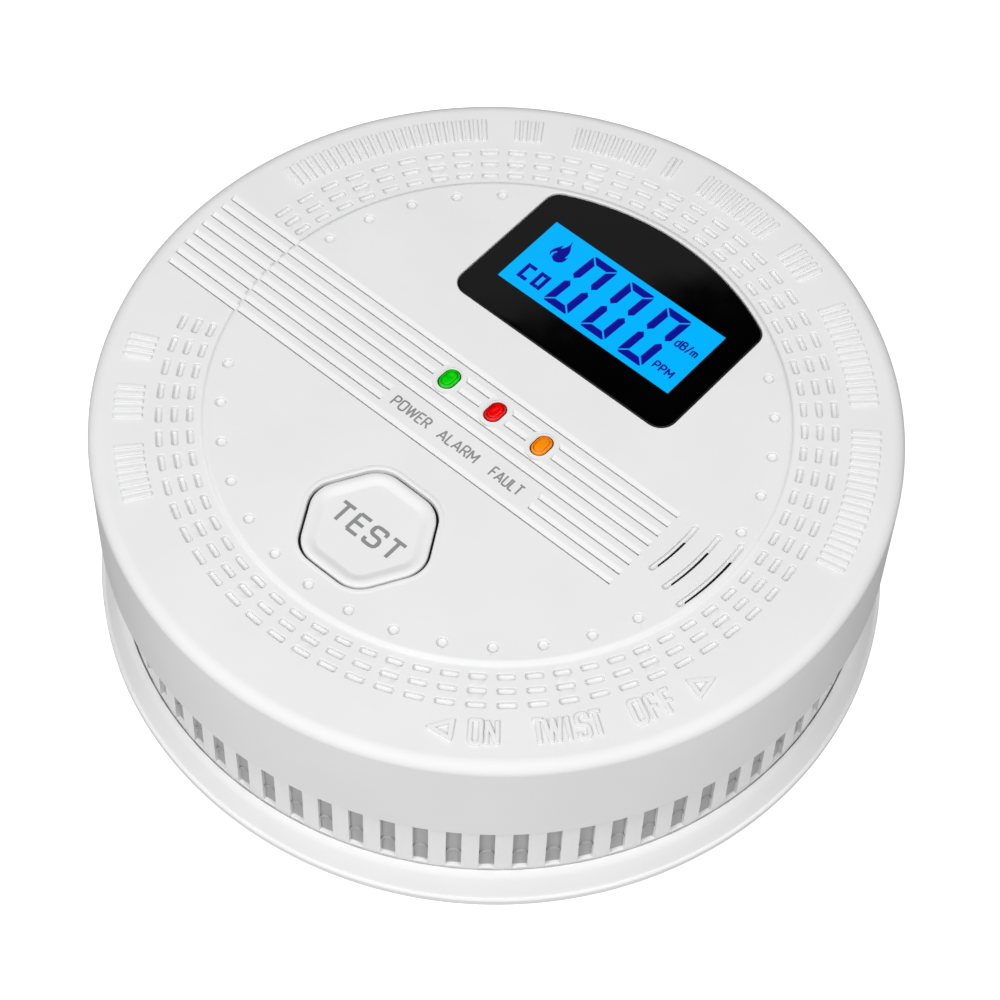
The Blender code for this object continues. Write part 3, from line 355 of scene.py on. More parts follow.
def stroke_outline(line, width):
    """The outline of an open line drawn with this width."""
    sides = [[], []]
    for i, point in enumerate(line):
        here = Vector(point)
        ways = []
        if i:
            ways.append((here - Vector(line[i - 1])).normalized())
        if i < len(line) - 1:
            ways.append((Vector(line[i + 1]) - here).normalized())
        across = sum(ways, Vector((0.0, 0.0))).normalized()
        normal = Vector((-across.y, across.x))
        reach = width / 2 / max(0.5, normal.dot(Vector((-ways[0].y, ways[0].x))))
        sides[0].append(tuple(here + normal * reach))
        sides[1].append(tuple(here - normal * reach))
    return sides[1] + sides[0][::-1]


def word(name, text, cap, width, stroke, low, high, gap=0.26, flares=()):
    """A word of raised strokes, its cap height and whole width given, centred on the origin."""
    spans = [GLYPHS[letter][0] for letter in text]
    natural = (sum(spans) + gap * (len(text) - 1)) * cap
    stretch = (width - stroke) / natural if natural else 1.0
    pieces = []
    start = -(width - stroke) / 2
    for letter, span in zip(text, spans):
        for line in GLYPHS[letter][1]:
            path = [(x * cap * stretch, y * (cap - stroke)) for x, y in line]
            if len(path) > 2:
                path = softened(path, BOWL * cap * min(stretch, 1.0))
            path = [(start + x, y - (cap - stroke) / 2) for x, y in path]
            lift = STROKE_STEP * (len(pieces) % 5)
            pieces.append(plate("stroke", stroke_outline(path, stroke), low, high + lift, flares))
        start += (span + gap) * cap * stretch
    return joined(pieces, name)


def placed(item, x, y):
    item.data.transform(Matrix.Translation((x, y, 0.0)))
    return item


# Materials

def new_material(name, colour, roughness, metallic=0.0, specular=0.5):
    material = bpy.data.materials.new(name)
    material.use_nodes = True
    shader = material.node_tree.nodes["Principled BSDF"]
    shader.inputs["Base Color"].default_value = (*colour, 1.0)
    shader.inputs["Roughness"].default_value = roughness
    shader.inputs["Metallic"].default_value = metallic
    shader.inputs["Specular IOR Level"].default_value = specular
    return material, shader


def add_node(material, kind, **settings):
    node = material.node_tree.nodes.new(kind)
    for key, value in settings.items():
        setattr(node, key, value)
    return node


def noise(material, scale, detail=3.0, stretch=(1.0, 1.0, 1.0)):
    """Noise over the piece's own coordinates, its scale in features per metre."""
    links = material.node_tree.links
    where = add_node(material, "ShaderNodeTexCoord")
    mapping = add_node(material, "ShaderNodeMapping")
    mapping.inputs["Scale"].default_value = stretch
    texture = add_node(material, "ShaderNodeTexNoise")
    texture.inputs["Scale"].default_value = scale
    texture.inputs["Detail"].default_value = detail
    links.new(where.outputs["Object"], mapping.inputs["Vector"])
    links.new(mapping.outputs["Vector"], texture.inputs["Vector"])
    return texture.outputs["Fac"]


def graded(material, value, low, high, colours):
    """A colour ramp from one colour to another as the value goes from low to high."""
    ramp = add_node(material, "ShaderNodeValToRGB")
    ramp.color_ramp.elements[0].position = low
    ramp.color_ramp.elements[1].position = high
    ramp.color_ramp.elements[0].color = (*colours[0], 1.0)
    ramp.color_ramp.elements[1].color = (*colours[1], 1.0)
    material.node_tree.links.new(value, ramp.inputs["Fac"])
    return ramp.outputs["Color"]


def grain(material, shader, scale, strength, distance, stretch=(1.0, 1.0, 1.0), detail=3.0):
    bump = add_node(material, "ShaderNodeBump")
    bump.inputs["Strength"].default_value = strength
    bump.inputs["Distance"].default_value = distance
    material.node_tree.links.new(noise(material, scale, detail, stretch), bump.inputs["Height"])
    material.node_tree.links.new(bump.outputs["Normal"], shader.inputs["Normal"])


def vary_roughness(material, shader, scale, low, high):
    spread = add_node(material, "ShaderNodeMapRange")
    spread.inputs["To Min"].default_value = low
    spread.inputs["To Max"].default_value = high
    material.node_tree.links.new(noise(material, scale), spread.inputs["Value"])
    material.node_tree.links.new(spread.outputs["Result"], shader.inputs["Roughness"])


def moulded(name, colour, shade, roughness, texture=True):
    """Moulded plastic: faint cloudiness in colour and gloss, and a fine spark-eroded grain."""
    material, shader = new_material(name, colour, roughness)
    tint = graded(material, noise(material, 90.0), 0.35, 0.65, (colour, shade))
    material.node_tree.links.new(tint, shader.inputs["Base Color"])
    vary_roughness(material, shader, 260.0, roughness - 0.05, roughness + 0.05)
    if texture:
        grain(material, shader, 9000.0, 0.06, 0.02 * MM)
    return material


def metal(name, colour, shade, roughness, stretch):
    material, shader = new_material(name, colour, roughness, metallic=1.0)
    tint = graded(material, noise(material, 700.0, 4.0, stretch), 0.3, 0.7, (colour, shade))
    material.node_tree.links.new(tint, shader.inputs["Base Color"])
    vary_roughness(material, shader, 900.0, roughness - 0.06, roughness + 0.1)
    grain(material, shader, 3000.0, 0.12, 0.02 * MM, stretch)
    return material


def tinted_light(name, colour, deep):
    """Clear tinted plastic over a small lamp, faintly glowing, its tint varying at random."""
    material, shader = new_material(name, colour, 0.12)
    tint = graded(material, noise(material, 1400.0, 1.0), 0.4, 0.6, (colour, deep))
    material.node_tree.links.new(tint, shader.inputs["Base Color"])
    material.node_tree.links.new(tint, shader.inputs["Emission Color"])
    shader.inputs["Emission Strength"].default_value = 0.10
    shader.inputs["Coat Weight"].default_value = 0.3
    shader.inputs["Coat Roughness"].default_value = 0.08
    return material


def glowing(name, colour, strength, roughness=0.2):
    material, shader = new_material(name, colour, roughness, specular=0.2)
    faded = tuple(part * 0.985 for part in colour)
    tint = graded(material, noise(material, 500.0, 1.0), 0.4, 0.6, (colour, faded))
    material.node_tree.links.new(tint, shader.inputs["Emission Color"])
    shader.inputs["Base Color"].default_value = (0.0, 0.0, 0.0, 1.0)
    shader.inputs["Emission Strength"].default_value = strength
    return material


cover_white = moulded("satin_white_cover", (0.795, 0.795, 0.795), (0.775, 0.775, 0.777), 0.42)
# The housing's white is lighter than the cover's: painted light for the brighter light on the vent ribs.
housing_white_lightened = moulded("satin_white_housing_lightened", (0.86, 0.86, 0.86), (0.845, 0.845, 0.845), 0.44)
bracket_white = moulded("satin_white_bracket", (0.82, 0.82, 0.82), (0.80, 0.80, 0.80), 0.45)
# The vent screen's grey is painted shade: it darkens the vent openings, where shade falls.
vent_shade_grey = moulded("grey_screen_painted_shade", (0.42, 0.42, 0.42), (0.39, 0.39, 0.39), 0.6)
button_white = moulded("satin_white_button", (0.80, 0.80, 0.80), (0.785, 0.785, 0.785), 0.35)
printed_grey = moulded("grey_print", (0.27, 0.27, 0.275), (0.24, 0.24, 0.245), 0.55, texture=False)
milky = moulded("milky_diffuser", (0.86, 0.86, 0.84), (0.82, 0.82, 0.80), 0.5)
black_plastic = moulded("moulded_black", (0.022, 0.022, 0.024), (0.016, 0.016, 0.018), 0.5)
# Near-black for the slits and for the gaps round the button and the lights: painted shade where only shade
# falls.
painted_shade_black = moulded("black_painted_shade", (0.004, 0.004, 0.004), (0.002, 0.002, 0.002), 0.95)
lens_black = moulded(
    "polished_black", (0.0006, 0.0006, 0.0007), (0.0004, 0.0004, 0.0005), 0.055, texture=False)
jacket_dark = moulded("printed_jacket", (0.05, 0.055, 0.07), (0.04, 0.043, 0.055), 0.3, texture=False)
mask_green = moulded("solder_mask", (0.012, 0.12, 0.045), (0.010, 0.10, 0.038), 0.3)
nickel = metal("nickel_plate", (0.70, 0.68, 0.63), (0.62, 0.60, 0.55), 0.28, (1.0, 1.0, 6.0))
steel = metal("drawn_steel", (0.56, 0.57, 0.58), (0.48, 0.49, 0.50), 0.33, (1.0, 1.0, 8.0))
zinc = metal("zinc_plate", (0.60, 0.61, 0.63), (0.50, 0.52, 0.55), 0.36, (1.0, 1.0, 1.0))
brass = metal("rolled_brass", (0.74, 0.56, 0.27), (0.66, 0.49, 0.22), 0.3, (8.0, 1.0, 1.0))
display_blue = glowing("backlit_blue", (0.0, 0.455, 1.0), 1.0)
segment_navy = glowing("segment_navy", (0.004, 0.005, 0.30), 1.0)
light_colours = {
    "green": tinted_light("tinted_green", (0.0, 0.62, 0.0), (0.0, 0.50, 0.0)),
    "red": tinted_light("tinted_red", (0.80, 0.0, 0.0), (0.66, 0.0, 0.0)),
    "amber": tinted_light("tinted_amber", (0.90, 0.27, 0.0), (0.80, 0.23, 0.0)),
}


def finish(item, material, body, replaces=()):
    item.data.materials.clear()
    item.data.materials.append(material)
    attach(item, body)
    if replaces:
        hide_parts(*replaces)
    return item


# Front cover

def cover_profile():
    """The outside of the shell from the disc down to the skirt, and the inside back up."""
    rim_radius, rim_height, rim_steps = 1.75 * MM, 1.4 * MM, 8
    rim = []
    for step in range(rim_steps + 1):
        angle = math.pi / 2 * step / rim_steps
        radius = COVER_RADIUS - rim_radius * (1 - math.sin(angle))
        rim.append((radius, BAND_Z - rim_height * (1 - math.cos(angle))))
    step_down = [
        (DISC_RADIUS - 0.50 * MM, FACE_Z),
        (DISC_RADIUS - 0.30 * MM, FACE_Z - 0.03 * MM),
        (DISC_RADIUS - 0.12 * MM, FACE_Z - 0.10 * MM),
        (DISC_RADIUS, FACE_Z - 0.21 * MM),
        (DISC_RADIUS + 0.07 * MM, FACE_Z - 0.33 * MM),
        (DISC_RADIUS + 0.20 * MM, BAND_Z + 0.03 * MM),
        (DISC_RADIUS + 0.45 * MM, BAND_Z),
    ]
    inside = COVER_RADIUS - 1.6 * MM
    skirt = [
        (COVER_RADIUS, SKIRT_Z + 0.3 * MM),
        (COVER_RADIUS - 0.09 * MM, SKIRT_Z + 0.09 * MM),
        (COVER_RADIUS - 0.3 * MM, SKIRT_Z),
        (inside + 0.2 * MM, SKIRT_Z),
        (inside, SKIRT_Z + 0.2 * MM),
        (inside, INSIDE_Z - 0.6 * MM),
        (inside - 0.6 * MM, INSIDE_Z),
    ]
    return step_down + rim + skirt


def lens_outline(grow=0.0):
    half = 17.3 * MM + grow
    arc_radius = 35.4 * MM + grow
    corner = 2.2 * MM + grow
    across = half - corner
    up = math.sqrt((arc_radius - corner) ** 2 - across ** 2)
    tangent = math.degrees(math.atan2(up, across))
    low = 10.85 * MM - grow + corner
    return (
        arc(corner, -90.0, 0.0, 8, (across, low))
        + arc(corner, 0.0, tangent, 8, (across, up))
        + arc(arc_radius, tangent, 180.0 - tangent, 40)[1:-1]
        + arc(corner, 180.0 - tangent, 180.0, 8, (-across, up))
        + arc(corner, 180.0, 270.0, 8, (-across, low))
    )


def groove_run(start, end, low_y, surface):
    """One groove: a narrow slit along its lower edge, and a gentle slope that rises from it."""
    section = [
        (0.00, 0.75), (0.02, -0.90), (0.34, -0.90), (0.36, -0.31), (0.50, -0.25), (0.68, -0.15),
        (0.84, -0.06), (1.00, 0.0), (1.10, 0.75),
    ]
    item = pen("groove", [(start, low_y + y * MM, surface + z * MM) for y, z in section])
    close_line(item, len(section))
    bpy.ops.mesh.edge_face_add()
    bpy.ops.mesh.extrude_region_move(TRANSFORM_OT_translate={"value": (end - start, 0.0, 0.0)})
    outward()
    return item


def groove_cutters():
    """Eight lines across the band and the disc, open round the lights and the labels."""
    first_y, pitch = 2.25 * MM, 1.808 * MM
    left_end, right_end = 47.6 * MM, 26.45 * MM
    label_left, label_right = -11.8 * MM, 12.1 * MM
    on_band, on_disc = [], []
    for row in range(8):
        low_y = first_y - row * pitch
        left = -math.sqrt(left_end ** 2 - low_y ** 2)
        at_step = -math.sqrt((DISC_RADIUS + 0.1 * MM) ** 2 - low_y ** 2)
        on_band.append(groove_run(left, at_step + 0.3 * MM, low_y, BAND_Z))
        spans = [(at_step, right_end)]
        if row in (5, 6):
            spans = [(at_step, label_left), (label_right, right_end)]
        on_disc += [groove_run(start, end, low_y, FACE_Z) for start, end in spans]
    across = joined(on_disc, "disc_grooves")
    lands = []
    for centre in LIGHT_CENTRES:
        lands.append(plate("land", stadium(4.1 * MM, 4.5 * MM, centre), INSIDE_Z, FACE_Z + 1.0 * MM))
    boolean(across, joined(lands, "lands"))
    return joined(on_band, "band_grooves"), across


def pocket_cutter():
    """Three rings of small round-cornered pockets, left out where the grooves cross them."""
    rings = []
    for radius in (37.7 * MM, 39.6 * MM, 41.5 * MM):
        length = radius * math.radians(3.3)
        outline = moved(oblong(0.86 * MM, length, 0.26 * MM, steps=3), radius, 0.0)
        pocket = plate("pocket", outline, BAND_Z - 0.60 * MM, BAND_Z - 0.10 * MM,
                       [(0.05 * MM, 0.07 * MM), (0.10 * MM, 0.06 * MM)])
        angles = [2.5 + 5.0 * i for i in range(72)]
        clear = [angle for angle in angles if not 175.0 < angle < 200.0]
        rings.append(copies_round(pocket, clear, "ring"))
    return joined(rings, "pockets")


def dimple_cutter():
    """A ring of round dimples, left out at the lens and where the grooves end."""
    outline = moved(arc(0.68 * MM, 0.0, 360.0, 20)[:-1], 34.0 * MM, 0.0)
    dimple = plate("dimple", outline, FACE_Z - 0.50 * MM, FACE_Z - 0.12 * MM,
                   [(0.05 * MM, 0.08 * MM), (0.12 * MM, 0.07 * MM)])
    angles = list(range(10, 51, 10)) + list(range(130, 171, 10)) + list(range(210, 341, 10))
    return copies_round(dimple, angles, "dimples")


def sound_cutters():
    """Shallow bent recesses, and a narrow slit through the outer side of each."""
    recesses, slits = [], []
    for radius, (low, high), (slit_low, slit_high) in SOUND_SLOTS:
        recess = bent_slot(radius * MM, 0.80 * MM, low * MM, high * MM)
        recesses.append(plate("recess", recess, FACE_Z - 0.65 * MM, FACE_Z - 0.10 * MM,
                              [(0.06 * MM, 0.07 * MM), (0.12 * MM, 0.06 * MM)]))
        slit = bent_slot((radius + SLIT_OFFSET) * MM, 0.46 * MM, slit_low * MM, slit_high * MM)
        slits.append(plate("slit", slit, INSIDE_Z - 1.0 * MM, FACE_Z))
    return joined(recesses, "recesses"), joined(slits, "slits")


def build_slit_shade_strips():
    """A near-black strip that closes each slit just under the surface: painted shade in the slit."""
    strips = []
    for radius, _, (low, high) in SOUND_SLOTS:
        outline = bent_slot((radius + SLIT_OFFSET) * MM, 0.44 * MM, (low + 0.01) * MM, (high - 0.01) * MM)
        strips.append(plate("strip", outline, INSIDE_Z, FACE_Z - 0.78 * MM))
    felt = joined(strips, "slit_shade_strips")
    soft_shading(felt)
    finish(felt, painted_shade_black, "detector")


def screw_posts(name, radius, low, high, steps):
    """A round post at each of the four screw places."""
    posts = []
    for angle in SCREW_ANGLES:
        turn = math.radians(angle)
        centre = (SCREW_CIRCLE * math.cos(turn), SCREW_CIRCLE * math.sin(turn))
        posts.append(plate(name, moved(arc(radius, 0.0, 360.0, steps)[:-1], *centre), low, high))
    return joined(posts, name)


def add_to_cover(cover):
    """What stands out from the shell: the lip round the button, rings round the lights, screw bosses."""
    lip = moved(hexagon(17.5 * MM, 4.7 * MM), 0.0, BUTTON_Y)
    boolean(cover, plate("button_lip", lip, FACE_Z - 0.5 * MM, FACE_Z,
                         [(-0.16 * MM, 0.09 * MM), (-0.22 * MM, 0.04 * MM)]), "UNION")
    rings = []
    for centre in LIGHT_CENTRES:
        rings.append(plate("light_ring", stadium(3.0 * MM, 4.0 * MM, centre), FACE_Z - 0.5 * MM, FACE_Z,
                           [(-0.12 * MM, 0.07 * MM), (-0.14 * MM, 0.02 * MM)]))
    boolean(cover, joined(rings, "light_rings"), "UNION")
    boolean(cover, screw_posts("bosses", 3.2 * MM, COVER_LOW.z, INSIDE_Z + 0.8 * MM, 32), "UNION")


def open_cover(cover):
    """The holes through the shell: screw pilots, lens pocket, display window, button and lights."""
    through = INSIDE_Z - 1.0 * MM
    boolean(cover, screw_posts("pilots", 1.6 * MM, 8.0 * MM, INSIDE_Z, 24))
    ledge = LENS_LOW.z - 0.3 * MM
    boolean(cover, plate("lens_pocket", lens_outline(0.12 * MM), ledge, FACE_Z - 0.12 * MM,
                         [(0.05 * MM, 0.08 * MM), (0.12 * MM, 0.08 * MM)]))
    play = 0.6 * MM
    window = oblong(GLASS_HIGH.x - GLASS_LOW.x + play, GLASS_HIGH.y - GLASS_LOW.y + play, 0.4 * MM,
                    (0.0, (GLASS_LOW.y + GLASS_HIGH.y) / 2))
    boolean(cover, plate("glass_window", window, through, FACE_Z))
    boolean(cover, plate("button_hole", moved(hexagon(16.05 * MM, 4.1 * MM), 0.0, BUTTON_Y),
                         through, FACE_Z - 0.05 * MM, [(0.05 * MM, 0.10 * MM), (0.16 * MM, 0.12 * MM)]))
    holes = [plate("light_hole", stadium(2.3 * MM, 3.3 * MM, centre), through, FACE_Z - 0.03 * MM,
                   [(0.05 * MM, 0.08 * MM), (0.1 * MM, 0.1 * MM)]) for centre in LIGHT_CENTRES]
    boolean(cover, joined(holes, "light_holes"))


def build_cover():
    cover = lathe("front_cover_shell", cover_profile())
    add_to_cover(cover)
    open_cover(cover)
    for cutter in groove_cutters():
        boolean(cover, cutter)
    boolean(cover, pocket_cutter())
    boolean(cover, dimple_cutter())
    for cutter in sound_cutters():
        boolean(cover, cutter)
    soft_shading(cover, 32.0, weighted=True)
    finish(cover, cover_white, "detector", ["front_cover"])


def on_rim(item, angle):
    """Turns a mark that stands at the origin to its place on the rim, its foot outwards."""
    item.data.transform(Matrix.Translation((0.0, -LEGEND_RADIUS, 0.0)))
    item.data.transform(Matrix.Rotation(math.radians(angle + 90.0), 4, "Z"))
    return item


def build_rim_marks():
    """Raised marks on the outer band: a twist legend, and plain scale marks round the rest."""
    low, rise = BAND_Z - 0.05 * MM, 0.38 * MM
    shoulder, bevel = low + rise - 0.08 * MM, [(-0.09 * MM, 0.08 * MM)]
    cap, stroke, letter_width, mark_pitch = 3.6 * MM, 0.5 * MM, 2.25 * MM, 1.4
    marks = []
    for text, start, end in TWIST_LEGEND:
        pitch = (end - start) / len(text)
        for i, letter in enumerate(text):
            width = stroke + GLYPHS[letter][0] * letter_width
            glyph = word("glyph", letter, cap, width, stroke, low, shoulder, flares=bevel)
            marks.append(on_rim(glyph, FRONT_TURN + start + pitch * (i + 0.5)))
    for start, tip in ((266.5, -1.0), (302.8, 1.0)):
        marks.append(on_rim(arrow(low, rise, tip), FRONT_TURN + start + tip * 1.9))
    ticks = []
    for start, end in MARK_RUNS:
        count = max(2, round((end - start) / mark_pitch))
        ticks += [FRONT_TURN + start + (end - start) * (i + 0.5) / count for i in range(count)]
    outline = oblong(3.5 * MM, 0.52 * MM, 0.15 * MM, (LEGEND_RADIUS, 0.0), 2)
    marks.append(copies_round(plate("tick", outline, low, shoulder, bevel), ticks, "ticks"))
    legend = joined(marks, "rim_legend")
    soft_shading(legend, 30.0)
    finish(legend, cover_white, "detector")


def arrow(low, rise, tip):
    """An outlined triangle that points along -X or +X."""
    outer = [(-1.45 * MM * tip, 1.5 * MM), (-1.45 * MM * tip, -1.5 * MM), (1.75 * MM * tip, 0.0)]
    inner = [(-0.95 * MM * tip, 0.75 * MM), (-0.95 * MM * tip, -0.75 * MM), (0.65 * MM * tip, 0.0)]
    body = plate("arrow", rounded(outer, 0.12 * MM, 2), low, low + rise)
    boolean(body, plate("arrow_hollow", inner, low - 1.0 * MM, low + 1.0 * MM))
    return body


# Display

def build_lens():
    top = LENS_HIGH.z
    lens = plate("display_lens_black", lens_outline(), LENS_LOW.z, top - 0.16 * MM,
                 [(-0.04 * MM, 0.08 * MM), (-0.06 * MM, 0.05 * MM), (-0.10 * MM, 0.03 * MM)])
    boolean(lens, plate("lens_window", window_outline(0.03 * MM), LENS_LOW.z - 1.0 * MM, top + 1.0 * MM))
    soft_shading(lens, 40.0, weighted=True)
    finish(lens, lens_black, "detector", ["display_lens"])


def window_outline(grow=0.0):
    half = 13.87 * MM + grow
    low, high = 15.95 * MM - grow, 27.45 * MM + grow
    return [(-half, low), (half, low), (half, high), (-half, high)]


def build_lcd():
    """The display: a glass block that rises into the lens window, with its segments on top."""
    top = LENS_HIGH.z - 0.05 * MM
    block = plate("lcd_panel", window_outline(), GLASS_HIGH.z - 0.1 * MM, top)
    corners = [(GLASS_LOW.x, GLASS_LOW.y), (GLASS_HIGH.x, GLASS_LOW.y),
               (GLASS_HIGH.x, GLASS_HIGH.y), (GLASS_LOW.x, GLASS_HIGH.y)]
    base = plate("lcd_base", corners, GLASS_LOW.z, GLASS_HIGH.z)
    boolean(block, base, "UNION")
    block.name = block.data.name = "lcd_panel"
    soft_shading(block, 30.0)
    finish(block, display_blue, "detector", ["lcd_glass"])
    pieces = []
    for x in (-7.25 * MM, -1.2 * MM, 4.8 * MM):
        pieces += zero_segments(x, 16.83 * MM, top)
    pieces += flame(top) + small_signs(top)
    art = joined(pieces, "lcd_segments")
    soft_shading(art, 30.0)
    finish(art, segment_navy, "detector")


def zero_segments(left, low, top):
    """The six lit segments of one slanted zero."""
    width, height, stroke, slant = 3.95, 9.67, 1.08, 0.6
    half = height / 2
    upright = [
        (0.0, 0.42), (0.05, 0.33), (stroke, stroke + 0.22), (stroke, half - 0.90), (0.56, half - 0.28),
        (0.0, half - 0.80),
    ]
    flat = [
        (0.30, 0.0), (width - 0.30, 0.0), (width - 0.16, 0.16), (width - stroke - 0.06, stroke - 0.02),
        (stroke + 0.06, stroke - 0.02), (0.16, 0.16),
    ]
    shapes = [
        flat,
        [(x, height - y) for x, y in flat],
        upright,
        [(x, height - y) for x, y in upright],
        [(width - x, y) for x, y in upright],
        [(width - x, height - y) for x, y in upright],
    ]
    made = []
    for shape in shapes:
        outline = [(left + (x + slant * y / height) * MM, low + y * MM) for x, y in shape]
        made.append(plate("segment", outline, top - 0.05 * MM, top + 0.02 * MM))
    return made


def flame(top):
    """A small flame with a licking tongue at its left."""
    outline = [
        (-10.10, 22.35), (-9.55, 22.45), (-9.10, 22.85), (-8.95, 23.40), (-9.00, 24.00),
        (-9.12, 23.70), (-9.30, 23.62), (-9.28, 24.30), (-9.45, 24.95), (-9.85, 25.55),
        (-10.22, 26.35), (-10.15, 25.60), (-10.35, 24.90), (-10.62, 24.45), (-10.68, 25.10),
        (-11.05, 24.50), (-11.35, 23.80), (-11.38, 23.20), (-11.05, 22.70), (-11.10, 23.30),
        (-10.85, 23.75), (-10.62, 23.90), (-10.80, 23.30), (-10.70, 22.70),
    ]
    return [plate("flame", [(x * MM, y * MM) for x, y in outline], top - 0.05 * MM, top + 0.02 * MM)]


def small_signs(top):
    """The gas sign at the left and the two units at the right."""
    made = []
    low, high = top - 0.05 * MM, top + 0.02 * MM
    stroke = 0.54
    left, foot, width, height = -12.15, 17.45, 1.62, 2.62
    bars = [
        (left, foot, left + stroke, foot + height),
        (left + stroke + 0.02, foot, left + width - 0.15, foot + stroke),
        (left + stroke + 0.02, foot + height - stroke, left + width - 0.15, foot + height),
    ]
    left += 2.15
    bars += [
        (left, foot, left + stroke, foot + height),
        (left + width - stroke, foot, left + width, foot + height),
        (left + stroke + 0.02, foot, left + width - stroke - 0.02, foot + stroke),
        (left + stroke + 0.02, foot + height - stroke, left + width - stroke - 0.02, foot + height),
    ]
    for x0, y0, x1, y1 in bars:
        made.append(plate("bar", oblong((x1 - x0) * MM, (y1 - y0) * MM, 0.08 * MM,
                                        ((x0 + x1) / 2 * MM, (y0 + y1) / 2 * MM), 2), low, high))
    for text, x, y, width, cap in (("dB/m", 11.3, 22.95, 3.4, 1.45), ("PPM", 11.15, 18.45, 3.0, 1.4)):
        sign = word("unit", text, cap * MM, width * MM, 0.23 * MM, low, high)
        made.append(placed(sign, x * MM, y * MM))
    return made


# Test button and labels

def build_button():
    """The cap with its dished top and hollow underside, a near-black ring in the gap round it as painted
    shade, and its word.
    """
    low, rim = BUTTON_LOW.z, FACE_Z - 0.24 * MM
    outline = moved(hexagon(15.4 * MM, 3.95 * MM), 0.0, BUTTON_Y)
    cap = plate("test_button_cap", outline, low + 0.4 * MM, rim, [
        (-0.05 * MM, 0.12 * MM), (-0.10 * MM, 0.10 * MM), (-0.18 * MM, 0.07 * MM), (-0.28 * MM, 0.03 * MM),
        (-0.22 * MM, -0.02 * MM), (-0.30 * MM, -0.09 * MM), (-0.36 * MM, -0.16 * MM),
        (-0.30 * MM, -0.10 * MM), (-0.16 * MM, -0.02 * MM),
    ])
    flange = plate("flange", moved(hexagon(18.0 * MM, 4.5 * MM), 0.0, BUTTON_Y), low, low + 0.75 * MM)
    boolean(cap, flange, "UNION")
    hollow = moved(hexagon(12.8 * MM, 2.4 * MM), 0.0, BUTTON_Y)
    boolean(cap, plate("hollow", hollow, low - 1.0 * MM, FACE_Z - 1.75 * MM))
    soft_shading(cap, 40.0, weighted=True)
    finish(cap, button_white, "button", ["test_button"])
    # A near-black ring in the gap round the cap: painted shade.
    outer = moved(hexagon(15.85 * MM, 4.05 * MM), 0.0, BUTTON_Y)
    ring = plate("button_gap_shade_ring", outer, low + 0.8 * MM, FACE_Z - 0.62 * MM)
    soft_shading(ring, 30.0)
    boolean(ring, plate("inner", moved(hexagon(15.2 * MM, 3.9 * MM), 0.0, BUTTON_Y), low, FACE_Z))
    finish(ring, painted_shade_black, "button")
    dish = FACE_Z - 0.31 * MM
    foot, top = dish - 0.04 * MM, dish + 0.02 * MM
    test = word("test_button_word", "TEST", 3.2 * MM, 10.4 * MM, 0.48 * MM, foot, top)
    placed(test, 0.0, BUTTON_Y - 0.2 * MM)
    soft_shading(test, 30.0)
    finish(test, printed_grey, "button")


def build_labels():
    """The printed word under each light."""
    cap, stroke, low, high = 1.72 * MM, 0.23 * MM, FACE_Z - 0.03 * MM, FACE_Z + 0.02 * MM
    words = []
    for text, x, width in (("POWER", -7.6, 6.0), ("ALARM", 0.0, 6.1), ("FAULT", 7.75, 4.9)):
        item = word("label", text, cap, width * MM, stroke, low, high, gap=0.2)
        words.append(placed(item, x * MM, -7.35 * MM))
    labels = joined(words, "indicator_labels")
    soft_shading(labels, 30.0)
    finish(labels, printed_grey, "detector")


def build_lights():
    """Three oval light pipes with a ring cut in the top, and a near-black ring in the gap round each as
    painted shade.
    """
    top = [
        (-0.08 * MM, 0.12 * MM), (-0.16 * MM, 0.06 * MM), (-0.02 * MM, -0.25 * MM), (-0.11 * MM, 0.0),
        (-0.02 * MM, 0.25 * MM), (-0.08 * MM, 0.10 * MM), (-0.14 * MM, 0.04 * MM),
    ]
    rings = []
    for colour, material in light_colours.items():
        low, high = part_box(f"light_pipe_{colour}")
        centre = tuple((low + high) / 2)[:2]
        outline = stadium(2.0 * MM, 3.0 * MM, centre)
        pipe = plate(f"light_{colour}", outline, low.z, FACE_Z + 0.02 * MM, top)
        collar = stadium(4.4 * MM, 5.4 * MM, centre)
        boolean(pipe, plate("collar", collar, INSIDE_Z - 0.9 * MM, INSIDE_Z - 0.3 * MM), "UNION")
        soft_shading(pipe, 35.0)
        finish(pipe, material, "detector", [f"light_pipe_{colour}"])
        # A near-black ring in the gap round the pipe: painted shade.
        ring = plate("ring", stadium(2.27 * MM, 3.27 * MM, centre), INSIDE_Z, FACE_Z - 0.10 * MM)
        boolean(ring, plate("inner", stadium(2.03 * MM, 3.03 * MM, centre), low.z, FACE_Z))
        rings.append(ring)
    gaps = joined(rings, "light_gap_shade_rings")
    soft_shading(gaps)
    finish(gaps, painted_shade_black, "detector")


# Bracket

def hooks(name, outer, low, high, reach):
    """One bent bar at each bayonet hook, reaching so many degrees either way."""
    bars = []
    for angle in HOOK_ANGLES:
        start, end = angle - reach, angle + reach
        bars.append(plate(name, arc(outer, start, end, 6) + arc(HOOK_INSIDE, end, start, 6), low, high))
    return joined(bars, name)


